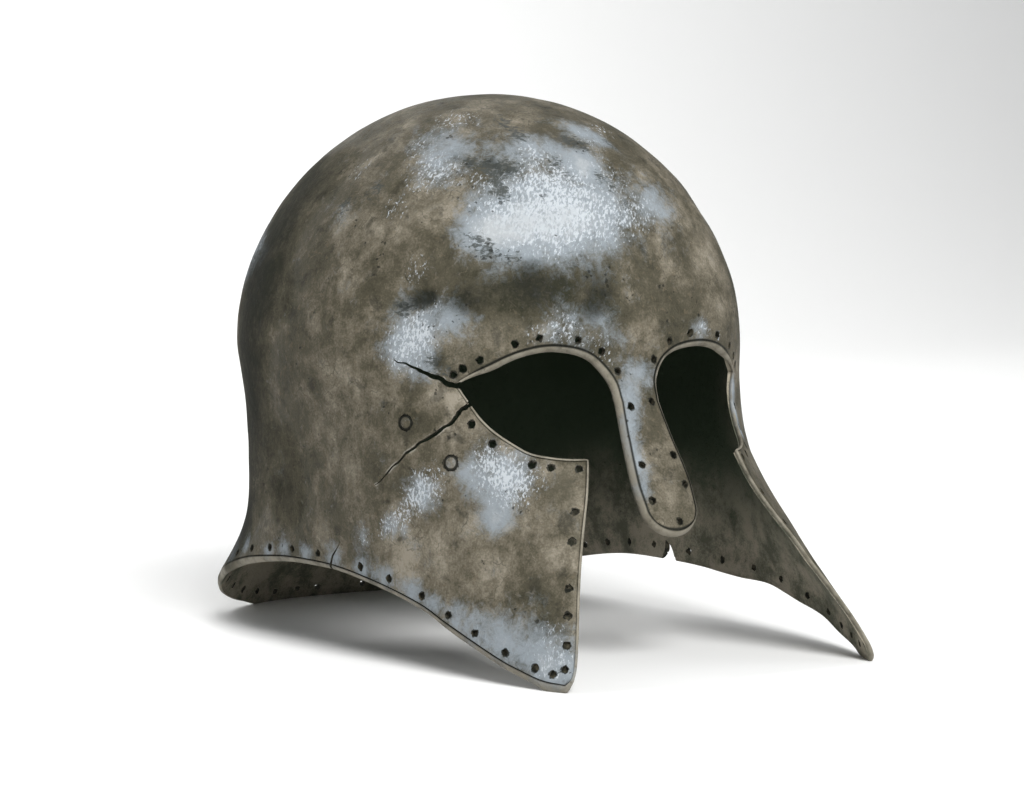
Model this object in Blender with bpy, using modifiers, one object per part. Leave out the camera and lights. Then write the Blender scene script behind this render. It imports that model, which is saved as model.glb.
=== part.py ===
"""A bronze helmet raised from one sheet, with a long nasal and forward cheek guards.

The shell is one piece of hammered bronze. It stands on the tips of its two cheek
guards and on the rim of its neck guard. Two flush rivets mend it behind the right eye.
Front is -Y, the wearer's right is -X, and lengths are in metres.

Places on the shell are given by turn and level. Turn is the angle round the head in
degrees, 0 at the nose and 180 at the nape. Level is 0 at the temples, 1 on the ground
that the helmet stands on, and -1 at the top of the crown.
"""
import math

import bmesh
import bpy
from mathutils import Matrix, Vector

# Main sizes of the shell
TEMPLE_HEIGHT = 0.1255
CROWN_RISE = 0.109
HALF_WIDTH = 0.103
BROW_REACH = 0.1026
CHEEK_LEAN = 0.0855
NOSE_LEAN = 0.0328
BACK_REACH = 0.115
NECK_FLARE = 0.0266
LEFT_CHEEK_SPREAD = 0.0155
PLAN_POWER = 2.25

# Where the head form turns into cheek guard and neck guard, in degrees of turn
NOSE_TURN = 8.0
CHEEK_TURN = 38.0
LOW_CHEEK_TURN = 14.0
SPREAD_TURNS = (18.0, 55.0, 100.0)
FLARE_TURNS = (82.0, 128.0)

# Sheet and rim
WALL = 0.0017
RIM_WALL = 0.0031
LIP_EDGE_SHARE = 0.4
DENT_DEPTH = 0.004
FOOT_REACH = 0.0022
FOOT_WEAR = 0.0008
SEAM_MERGE = 0.0001
SHARP_ANGLE = 35.0

# How far the bevelled lip of each edge runs on past the crease, and how far inwards
LIPS = {
    "nasal": (0.0020, 0.0036),
    "arch": (0.0027, 0.0027),
    "eye_low": (0.0009, 0.0010),
    "front": (0.0009, 0.0010),
    "low_rim": (0.0026, 0.0026),
}

# Nasal, whose root and round end are given by their levels
NASAL_HALF_WIDTH = 0.0129
NASAL_TOP = 0.146
NASAL_END = 0.545
NASAL_CORNER_ANGLE = 45.0

# Lining holes, cracks and other cuts
HOLE_RADIUS = 0.0016
HOLE_INSET = 0.0034
HOLE_SIDES = 8
CRACK_WIDTH = 0.0019
NOTCH_WIDTH = 0.0062
CUT_REACH = 0.008
FLOOR_CUT = 0.03

# Rivets
RIVET_RADIUS = 0.003
RIVET_GAP = 0.0003
RIVET_SEAT_GAP = 0.0006
RIVET_HEAD_RADIUS = 0.0048
RIVET_HEAD_HEIGHT = 0.0012
RIVET_CROWN = 0.0003
RIVET_CROWN_SHARES = (0.7, 0.6)
RIVET_FOOT_SHARE = 0.8
RIVET_SIDES = 16

# Faces of the shell's grid
NASAL_COLUMNS = 2
NASAL_ROWS = 7
ARCH_COLUMNS = 9
SIDE_COLUMNS = 18
CROWN_COLUMNS = NASAL_COLUMNS + ARCH_COLUMNS + SIDE_COLUMNS
CROWN_ROWS = 12
EYE_COLUMNS = 6
CHEEK_COLUMNS = EYE_COLUMNS + SIDE_COLUMNS
CHEEK_ROWS = 10

# Plan sections by level. Width, brow and back are shares of the half width, the brow
# reach and the back reach. Nose and cheek are shares of the two leans, flare of the
# neck flare.
SECTION_COLUMNS = ("level", "width", "nose_brow", "cheek_brow", "nose", "cheek", "back", "flare")
SECTIONS = (
    (-1.00, 1.000, 1.045, 1.045, 0.00, 0.00, 0.985, 0.00),
    (-0.52, 1.000, 1.037, 1.055, 0.00, 0.00, 0.992, 0.00),
    (-0.22, 1.000, 1.014, 1.060, 0.00, 0.00, 1.000, 0.00),
    (0.00, 1.000, 1.000, 1.074, 0.00, 0.00, 1.000, 0.00),
    (0.09, 0.991, 1.000, 1.074, 0.09, 0.05, 0.992, 0.00),
    (0.23, 0.968, 1.000, 1.074, 0.33, 0.19, 0.971, 0.00),
    (0.42, 0.949, 1.000, 1.074, 0.73, 0.38, 0.955, 0.02),
    (0.58, 0.940, 1.000, 1.074, 1.00, 0.53, 0.950, 0.09),
    (0.68, 0.931, 1.000, 1.074, 1.16, 0.62, 0.942, 0.28),
    (0.80, 0.931, 1.000, 1.074, 1.36, 0.75, 0.934, 0.60),
    (0.91, 0.940, 1.000, 1.074, 1.55, 0.89, 0.960, 0.90),
    (1.00, 0.949, 1.000, 1.074, 1.70, 1.00, 1.000, 1.00),
    (1.10, 0.958, 1.000, 1.074, 1.87, 1.12, 1.040, 1.22),
)

# Half width of the nasal by the share of its length, as a share of its greatest half width
NASAL_WIDTHS = (
    (0.00, 0.69),
    (0.27, 0.82),
    (0.62, 1.00),
    (0.81, 0.96),
)

# Upper edge of each eye as (share of the turn from the nasal's root to the rear corner, level)
ARCH = {
    "right": ((0.012, 0.076), (0.085, 0.010), (0.203, -0.031), (0.393, -0.046),
              (0.587, -0.026), (0.775, 0.018), (0.902, 0.049), (1.000, 0.078)),
    "left": ((0.018, 0.070), (0.103, 0.004), (0.229, -0.034), (0.425, -0.046),
             (0.633, -0.028), (0.821, 0.014), (0.931, 0.048), (1.000, 0.078)),
}

# The other edges of each half as (turn, level)
EYE_LOW = {
    "right": ((44.6, 0.078), (43.1, 0.137), (41.8, 0.189), (39.6, 0.231), (36.2, 0.270),
              (33.5, 0.294), (29.4, 0.306), (25.1, 0.312), (21.1, 0.312)),
    "left": ((41.6, 0.078), (39.8, 0.137), (38.6, 0.189), (37.2, 0.231), (35.0, 0.270),
             (32.6, 0.294), (29.0, 0.306), (25.1, 0.312), (21.4, 0.314)),
}
FRONT = {
    "right": ((21.1, 0.312), (23.8, 0.399), (26.8, 0.488), (29.6, 0.577), (32.9, 0.696),
              (35.2, 0.784), (37.5, 0.870), (39.7, 0.946), (41.5, 0.974)),
    "left": ((21.4, 0.314), (23.8, 0.399), (26.8, 0.488), (29.6, 0.577), (32.7, 0.696),
             (34.8, 0.784), (36.6, 0.870), (38.0, 0.940), (40.0, 0.974)),
}
LOW_RIM = {
    "right": ((41.5, 0.974), (45.5, 0.966), (49.3, 0.940), (52.3, 0.915), (57.0, 0.866),
              (61.2, 0.822), (65.5, 0.776), (73.3, 0.728), (82.9, 0.694), (92.0, 0.690),
              (102.0, 0.703), (112.0, 0.728), (124.0, 0.780), (135.0, 0.838), (145.0, 0.898),
              (154.0, 0.944), (163.0, 0.970), (172.0, 0.977), (180.0, 0.977)),
    "left": ((40.0, 0.974), (45.5, 0.966), (49.3, 0.944), (53.0, 0.917), (58.0, 0.878),
             (63.0, 0.842), (69.0, 0.816), (76.0, 0.798), (84.0, 0.786), (92.0, 0.780),
             (102.0, 0.784), (112.0, 0.802), (124.0, 0.838), (135.0, 0.880), (145.0, 0.922),
             (154.0, 0.954), (163.0, 0.972), (172.0, 0.977), (180.0, 0.977)),
}

# Dents as side, turn, level, radius as a share of the half width, depth as a share of
# the dent depth
DENTS = (
    ("right", 53.0, -0.21, 0.17, 0.90),
    ("right", 64.0, -0.10, 0.16, 0.35),
    ("right", 26.0, -0.58, 0.20, 0.40),
    ("right", 55.0, -0.72, 0.22, 0.35),
    ("right", 150.0, -0.55, 0.24, 0.30),
    ("right", 43.0, 0.55, 0.17, 0.40),
    ("right", 58.0, 0.53, 0.20, 0.35),
    ("right", 80.0, 0.22, 0.24, 0.30),
    ("left", 40.0, 0.22, 0.28, 1.90),
    ("left", 30.0, 0.44, 0.24, 0.90),
    ("left", 75.0, -0.40, 0.25, 0.45),
    ("left", 110.0, 0.30, 0.24, 0.40),
    ("left", 150.0, -0.15, 0.22, 0.35),
    ("left", 60.0, 0.62, 0.20, 0.40),
)

# Lining holes along each edge of each half, as shares of its length
HOLES = {
    "right": {
        "nasal": (0.02, 0.32, 0.56),
        "arch": (0.03, 0.16, 0.30, 0.47, 0.58, 0.75, 0.88, 0.97),
        "eye_low": (0.24, 0.40, 0.66, 0.77, 0.94),
        "front": (0.22, 0.345, 0.495, 0.605, 0.73, 0.84),
        "low_rim": (0.035, 0.078, 0.16, 0.218, 0.275, 0.333, 0.378, 0.413, 0.466, 0.50,
                    0.545, 0.59, 0.63, 0.67, 0.71, 0.75, 0.79, 0.83, 0.87, 0.91, 0.95, 0.985),
    },
    "left": {
        "nasal": (0.00, 0.28, 0.46, 0.95),
        "arch": (0.08, 0.22, 0.36, 0.55, 0.70, 0.84, 0.96),
        "eye_low": (0.22, 0.40, 0.60, 0.78, 0.95),
        "front": (0.20, 0.34, 0.48, 0.61, 0.74, 0.86),
        "low_rim": (0.04, 0.09, 0.145, 0.20, 0.255, 0.31, 0.36, 0.41, 0.455, 0.50,
                    0.545, 0.59, 0.63, 0.67, 0.71, 0.75, 0.79, 0.83, 0.87, 0.91, 0.95),
    },
}

# Which way the sheet lies from each edge, as a change of turn and level
SHEET_SIDE = {
    "nasal": (-1.5, -0.02),
    "arch": (0.0, -0.08),
    "eye_low": (4.0, 0.06),
    "front": (6.0, 0.0),
    "low_rim": (0.0, -0.06),
}

# Cracks of the right side as turn, level and share of the crack width
UPPER_CRACK = ((41.5, 0.092, 1.6), (46.5, 0.072, 1.3), (50.1, 0.051, 1.0), (54.5, 0.025, 0.7),
               (58.5, 0.005, 0.4))
LOWER_CRACK = ((40.5, 0.136, 1.3), (44.5, 0.155, 1.1), (48.5, 0.200, 0.9), (54.7, 0.246, 0.8),
               (61.0, 0.300, 0.7), (65.7, 0.352, 0.6), (70.5, 0.410, 0.4))
RIVETS = {
    "rivet_upper": (59.5, 0.205),
    "rivet_lower": (51.6, 0.325),
}

# The nick and the notch of the lower rim, with shares of the notch width
NICK = ((84.5, 0.740, 0.30), (83.6, 0.686, 0.20), (81.0, 0.610, 0.03))
NOTCH = ((89.0, 0.800, 1.60), (89.0, 0.755, 1.00), (89.5, 0.705, 0.05))

SIDES = {"right": -1.0, "left": 1.0}


def ease(low, high, value):
    """Rise smoothly from 0 at low to 1 at high."""
    share = min(max((value - low) / (high - low), 0.0), 1.0)
    return share * share * (3.0 - 2.0 * share)


def curve_through(rows, place):
    """Read the smooth curve through rows, whose first column is its place."""
    last = len(rows) - 1
    place = min(max(place, rows[0][0]), rows[last][0])
    index = 0
    while index < last - 1 and place > rows[index + 1][0]:
        index += 1
    here, there = rows[index], rows[index + 1]
    before, after = rows[max(index - 1, 0)], rows[min(index + 2, last)]
    span = there[0] - here[0]
    share = (place - here[0]) / span
    values = []
    for column in range(1, len(here)):
        leaving = (there[column] - before[column]) / (there[0] - before[0]) * span
        arriving = (after[column] - here[column]) / (after[0] - here[0]) * span
        values.append(
            (2 * share**3 - 3 * share**2 + 1) * here[column]
            + (share**3 - 2 * share**2 + share) * leaving
            + (3 * share**2 - 2 * share**3) * there[column]
            + (share**3 - share**2) * arriving)
    return values


def along(points, share):
    """Find the turn and level at a share of the way along an edge."""
    rows = [(index / (len(points) - 1), *point) for index, point in enumerate(points)]
    return curve_through(rows, share)


def section(level):
    """Give the plan section at a level, in metres."""
    row = dict(zip(SECTION_COLUMNS[1:], curve_through(SECTIONS, level)))
    return {
        "width": HALF_WIDTH * row["width"],
        "nose": BROW_REACH * row["nose_brow"] + NOSE_LEAN * row["nose"],
        "cheek": BROW_REACH * row["cheek_brow"] + CHEEK_LEAN * row["cheek"],
        "back": BACK_REACH * row["back"],
        "flare": NECK_FLARE * row["flare"],
    }


def height(level):
    """Turn a level into a height above the ground."""
    rise = TEMPLE_HEIGHT if level > 0 else CROWN_RISE
    return TEMPLE_HEIGHT - rise * level


def smooth_skin(side, turn, level):
    """Place a point of the undented outer skin."""
    plan = section(level)
    cheek_turn = CHEEK_TURN + (LOW_CHEEK_TURN - CHEEK_TURN) * ease(0.04, 0.30, level)
    front = plan["nose"] + (plan["cheek"] - plan["nose"]) * ease(NOSE_TURN, cheek_turn, turn)
    dome = math.sqrt(max(1.0 - min(level, 0.0) ** 2, 0.0))
    angle = math.radians(turn)
    across = plan["width"] * dome * abs(math.sin(angle)) ** (2 / PLAN_POWER)
    reach = -front if turn < 90 else plan["back"]
    lengthways = reach * dome * abs(math.cos(angle)) ** (2 / PLAN_POWER)
    point = Vector((across, lengthways, 0.0))
    if point.length > 0:
        point += point.normalized() * plan["flare"] * ease(*FLARE_TURNS, turn)
    if side == "left":
        full_from, full_to, gone = SPREAD_TURNS
        spread = LEFT_CHEEK_SPREAD * ease(0.36, 1.0, level)
        spread *= ease(NOSE_TURN, full_from, turn) * (1 - ease(full_to, gone, turn))
        point += Vector((spread, -spread / 2, 0.0))
    point.x *= SIDES[side]
    point.z = height(level)
    return point


DENT_CENTRES = [
    (side, smooth_skin(side, turn, level), radius * HALF_WIDTH, depth * DENT_DEPTH)
    for side, turn, level, radius, depth in DENTS]


def skin(side, turn, level):
    """Place a point of the outer skin, with its dents."""
    point = smooth_skin(side, turn, level)
    push = 0.0
    for dent_side, centre, radius, depth in DENT_CENTRES:
        if dent_side == side:
            push += depth * math.exp(-(((point - centre).length / radius) ** 2))
    inwards = Vector((0.0, 0.0, min(point.z, TEMPLE_HEIGHT) if level > 0 else TEMPLE_HEIGHT)) - point
    return point + inwards.normalized() * push


def outward(side, turn, level):
    """Give the outward direction of the skin at a place."""
    turn_step, level_step = 0.5, 0.01
    turn = min(max(turn, turn_step), 180.0 - turn_step)
    across = skin(side, turn + turn_step, level) - skin(side, turn - turn_step, level)
    down = skin(side, turn, level + level_step) - skin(side, turn, level - level_step)
    return (down.cross(across) * SIDES[side]).normalized()


def nasal_level(share):
    """Give the level at a share of the nasal's length."""
    return NASAL_TOP + (NASAL_END - NASAL_TOP) * share


def nasal_outline(level):
    """Give the nasal's half width at a level, as a share of its greatest half width."""
    share = (level - NASAL_TOP) / (NASAL_END - NASAL_TOP)
    width = curve_through(NASAL_WIDTHS, share)[0]
    round_from = NASAL_WIDTHS[-1][0]
    if share > round_from:
        width *= math.sqrt(max(1 - ((share - round_from) / (1 - round_from)) ** 2, 0.0))
    return width


def nasal_spot(width, level):
    """Turn a share of the nasal's half width into a turn."""
    across = NASAL_HALF_WIDTH * max(width, 0.0) / section(level)["width"]
    return math.degrees(math.asin(across ** (PLAN_POWER / 2))), level


def nasal_edge(share):
    """Follow the nasal's side from its root to the middle of its round end."""
    level = nasal_level(math.sin(share * math.pi / 2))
    return nasal_spot(nasal_outline(level), level)


def arch_points(side):
    """List the upper edge of an eye as turns and levels, from the nasal's root backwards."""
    root_turn, root_level = nasal_edge(0.0)
    corner_turn = EYE_LOW[side][0][0]
    arch = [(root_turn + (corner_turn - root_turn) * share, level) for share, level in ARCH[side]]
    return [(root_turn, root_level), *arch]


def patch_point(top, bottom, left, right, u, v):
    """Blend the four edges of a patch, each a function of its share of the way."""
    top_left, top_right = top(0.0), top(1.0)
    bottom_left, bottom_right = bottom(0.0), bottom(1.0)
    place = top(u).lerp(bottom(u), v) + left(v).lerp(right(v), u)
    return place - top_left.lerp(top_right, u).lerp(bottom_left.lerp(bottom_right, u), v)


def nasal_place(side, u, v):
    """Map the nasal's patch, from its middle line to its edge."""
    round_from, round_width = NASAL_WIDTHS[-1]

    def bottom(share):
        angle = math.pi / 2 - math.radians(NASAL_CORNER_ANGLE) * share
        level = nasal_level(round_from + (1 - round_from) * math.sin(angle))
        return Vector((round_width * math.cos(angle), level))

    def right(share):
        level = NASAL_TOP + (bottom(1.0).y - NASAL_TOP) * share
        return Vector((nasal_outline(level), level))

    place = patch_point(
        lambda share: Vector((nasal_outline(NASAL_TOP) * share, NASAL_TOP)), bottom,
        lambda share: Vector((0.0, nasal_level(share))), right, u, v)
    return nasal_spot(place.x, place.y)


def crown_place(side, u, v):
    """Map the crown's patch, whose foot is the nasal's root, the arch and a seam to the nape."""
    column = u * CROWN_COLUMNS
    if column <= NASAL_COLUMNS:
        share = column / NASAL_COLUMNS
        turn, level = nasal_spot(nasal_outline(NASAL_TOP) * share, NASAL_TOP)
    elif column <= NASAL_COLUMNS + ARCH_COLUMNS:
        turn, level = along(arch_points(side), (column - NASAL_COLUMNS) / ARCH_COLUMNS)
    else:
        corner_turn, level = EYE_LOW[side][0]
        share = (column - NASAL_COLUMNS - ARCH_COLUMNS) / SIDE_COLUMNS
        turn = corner_turn + (180.0 - corner_turn) * share
    rise = math.asin(-level) if level < 0 else -level
    rise += (math.pi / 2 - rise) * v
    level = -math.sin(rise) if rise > 0 else -rise
    return turn + (180.0 * u - turn) * ease(0.0, 1.0, v), level


def cheek_top(side, share):
    """Follow the lower edge of the eye back to its corner, then the seam to the nape."""
    column = share * CHEEK_COLUMNS
    if column <= EYE_COLUMNS:
        return Vector(along(EYE_LOW[side], 1 - column / EYE_COLUMNS))
    corner_turn, level = EYE_LOW[side][0]
    turn = corner_turn + (180.0 - corner_turn) * (column - EYE_COLUMNS) / SIDE_COLUMNS
    return Vector((turn, level))


def cheek_place(side, u, v):
    """Map the patch of cheek, side and neck between its four edges."""
    nape = cheek_top(side, 1.0)
    place = patch_point(
        lambda share: cheek_top(side, share),
        lambda share: Vector(along(LOW_RIM[side], share)),
        lambda share: Vector(along(FRONT[side], share)),
        lambda share: nape.lerp(Vector(LOW_RIM[side][-1]), share), u, v)
    return place.x, place.y


def cheek_edge(u, v):
    """Name the edge that a point of the cheek's patch belongs to."""
    if v > 1 - 0.5 / CHEEK_ROWS:
        return "low_rim"
    return "front" if u < 0.5 / CHEEK_COLUMNS else "eye_low"


def lay_patch(mesh, side, columns, rows, place, edge_name):
    """Lay a patch of quads on the skin, and note the edge that each point belongs to."""
    names = mesh.verts.layers.int["edge"]
    made = bmesh.ops.create_grid(mesh, x_segments=columns, y_segments=rows, size=0.5)
    for corner in made["verts"]:
        u, v = corner.co.x + 0.5, corner.co.y + 0.5
        corner.co = skin(side, *place(side, u, v))
        corner[names] = list(LIPS).index(edge_name(u, v))


def pulled_from(corners, sources):
    """Pair each extruded point with the point that it was pulled from."""
    return [(corner, edge.other_vert(corner)) for corner in corners
            for edge in corner.link_edges if edge.other_vert(corner) in sources]


def points_in(geometry):
    """Pick the points out of an operator's result."""
    return [item for item in geometry if isinstance(item, bmesh.types.BMVert)]


def sheet_ends(edges):
    """Find the direction away from the sheet at each point of its open edges."""
    away = {}
    for edge in edges:
        run = (edge.verts[1].co - edge.verts[0].co).normalized()
        out = edge.verts[0].co - edge.link_faces[0].calc_center_median()
        out = (out - out.project(run)).normalized()
        for corner in edge.verts:
            away[corner] = away.get(corner, Vector()) + out
    return {corner: out.normalized() for corner, out in away.items()}


def turn_lip(mesh):
    """Carry the open edges on past their crease as a bevelled lip, flat where it stands."""
    names = mesh.verts.layers.int["edge"]
    edges = [edge for edge in mesh.edges if edge.is_boundary]
    away = sheet_ends(edges)
    normals = {corner: corner.normal.copy() for corner in away}
    ring = points_in(bmesh.ops.extrude_edge_only(mesh, edges=edges)["geom"])
    for corner, source in pulled_from(ring, away):
        run, depth = list(LIPS.values())[source[names]]
        corner.co = source.co + away[source] * run - normals[source] * depth
        if corner.co.z < FOOT_REACH:
            corner.co.z = -FOOT_WEAR
    return set(away), set(ring)


def shell_sheet():
    """Build the outer sheet with its lip, and weigh each point for the wall's thickness."""
    mesh = bmesh.new()
    names = mesh.verts.layers.int.new("edge")
    for side in SIDES:
        lay_patch(mesh, side, CROWN_COLUMNS, CROWN_ROWS, crown_place, lambda u, v: "arch")
        lay_patch(mesh, side, NASAL_COLUMNS, NASAL_ROWS, nasal_place, lambda u, v: "nasal")
        lay_patch(mesh, side, CHEEK_COLUMNS, CHEEK_ROWS, cheek_place, cheek_edge)
    bmesh.ops.remove_doubles(mesh, verts=mesh.verts, dist=SEAM_MERGE)
    bmesh.ops.recalc_face_normals(mesh, faces=mesh.faces)
    crease, ring = turn_lip(mesh)
    bmesh.ops.recalc_face_normals(mesh, faces=mesh.faces)
    weights = mesh.verts.layers.deform.verify()
    for corner in mesh.verts:
        if corner in ring:
            corner[weights][0] = LIP_EDGE_SHARE
        elif corner in crease or corner[names] == list(LIPS).index("nasal"):
            corner[weights][0] = 1.0
        else:
            corner[weights][0] = WALL / RIM_WALL
    return mesh


def aimed(side, turn, level, lift=0.0):
    """Give the matrix that stands on the skin at a place, its Z axis pointing out."""
    normal = outward(side, turn, level)
    turned = normal.to_track_quat("Z", "X").to_matrix().to_4x4()
    return Matrix.Translation(skin(side, turn, level) + normal * lift) @ turned


def inset_matrix(side, name, edge, share):
    """Stand on the skin a hole's inset away from an edge."""
    near = 0.01
    before, after = edge(max(share - near, 0.0)), edge(min(share + near, 1.0))
    turn, level = edge(share)
    normal = outward(side, turn, level)
    run = skin(side, *after) - skin(side, *before)
    inwards = normal.cross(run).normalized()
    turn_step, level_step = SHEET_SIDE[name]
    body = skin(side, max(turn + turn_step, 0.0), level + level_step) - skin(side, turn, level)
    if inwards.dot(body) < 0:
        inwards = -inwards
    spot = skin(side, turn, level) + inwards * HOLE_INSET
    return Matrix.Translation(spot) @ normal.to_track_quat("Z", "X").to_matrix().to_4x4()


def edge_path(side, name):
    """Give the function that follows an edge by its share."""
    if name == "nasal":
        return nasal_edge
    if name == "arch":
        return lambda share: along(arch_points(side)[1:], share)
    edges = {"eye_low": EYE_LOW, "front": FRONT, "low_rim": LOW_RIM}
    return lambda share: along(edges[name][side], share)


def hole_matrices():
    """List where each lining hole is drilled."""
    drilled = []
    for side in SIDES:
        for name, shares in HOLES[side].items():
            for share in shares:
                drilled.append(inset_matrix(side, name, edge_path(side, name), share))
    return drilled


def drill(matrices, radius, sides):
    """Build round cutters that stand across the wall."""
    mesh = bmesh.new()
    for matrix in matrices:
        bmesh.ops.create_cone(mesh, cap_ends=True, segments=sides, radius1=radius,
                              radius2=radius, depth=2 * CUT_REACH, matrix=matrix)
    return mesh


def wedge(side, path, width):
    """Build a thin cutter that follows a crack or a notch across the wall."""
    mesh = bmesh.new()
    steps = len(path) - 1
    made = bmesh.ops.create_grid(mesh, x_segments=steps, y_segments=1, size=0.5)
    normals = {}
    for corner in made["verts"]:
        index = round((corner.co.x + 0.5) * steps)
        turn, level, share = path[index]
        normal = outward(side, turn, level)
        run = (skin(side, *path[min(index + 1, steps)][:2])
               - skin(side, *path[max(index - 1, 0)][:2]))
        across = normal.cross(run).normalized() * corner.co.y * width * share
        corner.co = skin(side, turn, level) + across - normal * CUT_REACH
        normals[corner] = normal
    top = bmesh.ops.extrude_face_region(mesh, geom=mesh.faces[:])["geom"]
    for corner, source in pulled_from(points_in(top), normals):
        corner.co = source.co + normals[source] * 2 * CUT_REACH
    bmesh.ops.recalc_face_normals(mesh, faces=mesh.faces)
    return mesh


def floor_block():
    """Build the block that trims the standing edges flat."""
    mesh = bmesh.new()
    size = 4 * (HALF_WIDTH + BACK_REACH)
    made = bmesh.ops.create_cube(mesh, size=1.0)
    bmesh.ops.scale(mesh, verts=made["verts"], vec=(size, size, FLOOR_CUT))
    bmesh.ops.translate(mesh, verts=made["verts"], vec=(0.0, 0.0, -FLOOR_CUT / 2))
    return mesh


def rivet_profile():
    """List a rivet's half outline as (radius, height), from its outer face inwards."""
    crown_out, crown_up = RIVET_CROWN_SHARES
    seat = -(WALL + RIVET_SEAT_GAP)
    foot = seat - RIVET_HEAD_HEIGHT
    return ((0.0, RIVET_CROWN), (RIVET_RADIUS * crown_out, RIVET_CROWN * crown_up),
            (RIVET_RADIUS, 0.0), (RIVET_RADIUS, seat), (RIVET_HEAD_RADIUS, seat),
            (RIVET_HEAD_RADIUS * RIVET_FOOT_SHARE, foot), (0.0, foot))


def bronze(name, colour, roughness):
    """Make a patinated bronze."""
    material = bpy.data.materials.new(name)
    material.use_nodes = True
    shader = material.node_tree.nodes["Principled BSDF"]
    shader.inputs["Base Color"].default_value = (*colour, 1.0)
    shader.inputs["Metallic"].default_value = 0.55
    shader.inputs["Roughness"].default_value = roughness
    return material


def add_object(name, mesh, collection, parent):
    """Turn a bmesh into a named object under the helmet's empty."""
    data = bpy.data.meshes.new(name)
    mesh.to_mesh(data)
    mesh.free()
    made = bpy.data.objects.new(name, data)
    collection.objects.link(made)
    made.parent = parent
    return made


def add_cutter(name, mesh, collection, parent, target):
    """Add a hidden cutter and take it out of the target."""
    cutter = add_object(name, mesh, collection, parent)
    cutter.hide_render = True
    cutter.display_type = "WIRE"
    cut = target.modifiers.new(name, "BOOLEAN")
    cut.operation = "DIFFERENCE"
    cut.solver = "EXACT"
    cut.object = cutter


def add_shell(collection, cutters, parent):
    """Add the shell, its wall and all that is cut out of it."""
    shell = add_object("shell", shell_sheet(), collection, parent)
    shell.vertex_groups.new(name="thickness")
    shell.data.materials.append(bronze("shell_bronze", (0.10, 0.09, 0.07), 0.55))
    shell.data.shade_smooth()
    shell.data.set_sharp_from_angle(angle=math.radians(SHARP_ANGLE))
    wall = shell.modifiers.new("wall", "SOLIDIFY")
    wall.thickness = RIM_WALL
    wall.offset = -1.0
    wall.vertex_group = "thickness"
    wall.thickness_vertex_group = 0.0
    rivet_seats = [aimed("right", *place) for place in RIVETS.values()]
    cuts = {
        "cut_lining_holes": drill(hole_matrices(), HOLE_RADIUS, HOLE_SIDES),
        "cut_rivet_holes": drill(rivet_seats, RIVET_RADIUS + RIVET_GAP, RIVET_SIDES),
        "cut_upper_crack": wedge("right", UPPER_CRACK, CRACK_WIDTH),
        "cut_lower_crack": wedge("right", LOWER_CRACK, CRACK_WIDTH),
        "cut_nick": wedge("right", NICK, NOTCH_WIDTH),
        "cut_notch": wedge("left", NOTCH, NOTCH_WIDTH),
        "cut_floor": floor_block(),
    }
    for name, mesh in cuts.items():
        add_cutter(name, mesh, cutters, parent, shell)
    return shell


def add_rivet(name, place, collection, parent):
    """Turn a rivet from its profile and stand it in its hole."""
    mesh = bmesh.new()
    points = [mesh.verts.new((radius, 0.0, rise)) for radius, rise in rivet_profile()]
    for start, end in zip(points, points[1:]):
        mesh.edges.new((start, end))
    rivet = add_object(name, mesh, collection, parent)
    rivet.matrix_local = aimed("right", *place)
    rivet.data.materials.append(bronze(name + "_bronze", (0.14, 0.12, 0.09), 0.5))
    turned = rivet.modifiers.new("turned", "SCREW")
    turned.steps = turned.render_steps = RIVET_SIDES
    turned.use_merge_vertices = True
    turned.merge_threshold = 0.00001


def middle_of(shell):
    """Find the middle of the shell's plan."""
    spots = [corner.co for corner in shell.data.vertices]
    across = [spot.x for spot in spots]
    lengthways = [spot.y for spot in spots]
    return Vector(((min(across) + max(across)) / 2, (min(lengthways) + max(lengthways)) / 2, 0.0))


def clear_scene():
    """Remove what the scene holds."""
    for item in list(bpy.data.objects):
        bpy.data.objects.remove(item, do_unlink=True)


def new_collection(name):
    """Add a collection to the scene."""
    collection = bpy.data.collections.new(name)
    bpy.context.scene.collection.children.link(collection)
    return collection


def main():
    """Build the helmet over the middle of the ground it covers."""
    clear_scene()
    collection = new_collection("helmet")
    cutters = new_collection("helmet_cutters")
    stand = bpy.data.objects.new("helmet_middle", None)
    collection.objects.link(stand)
    shell = add_shell(collection, cutters, stand)
    for name, place in RIVETS.items():
        add_rivet(name, place, collection, stand)
    stand.location = -middle_of(shell)


main()
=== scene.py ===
# %% [markdown]
# An ancient bronze helmet stands on its two cheek tips and on the rim of its neck guard.
# A smith raised it from one sheet: the crown, the nasal, the cheek guards and the neck
# guard are one skin, about two millimetres thick, with a bevelled lip round every edge.
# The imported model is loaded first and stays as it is. It gives the size and the place of
# everything below, so nothing has to be fitted afterwards.

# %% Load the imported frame
import math
import random

import bmesh
import bpy
import numpy as np
from mathutils import Matrix, Vector, noise
from mathutils.bvhtree import BVHTree
from mathutils.kdtree import KDTree


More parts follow.
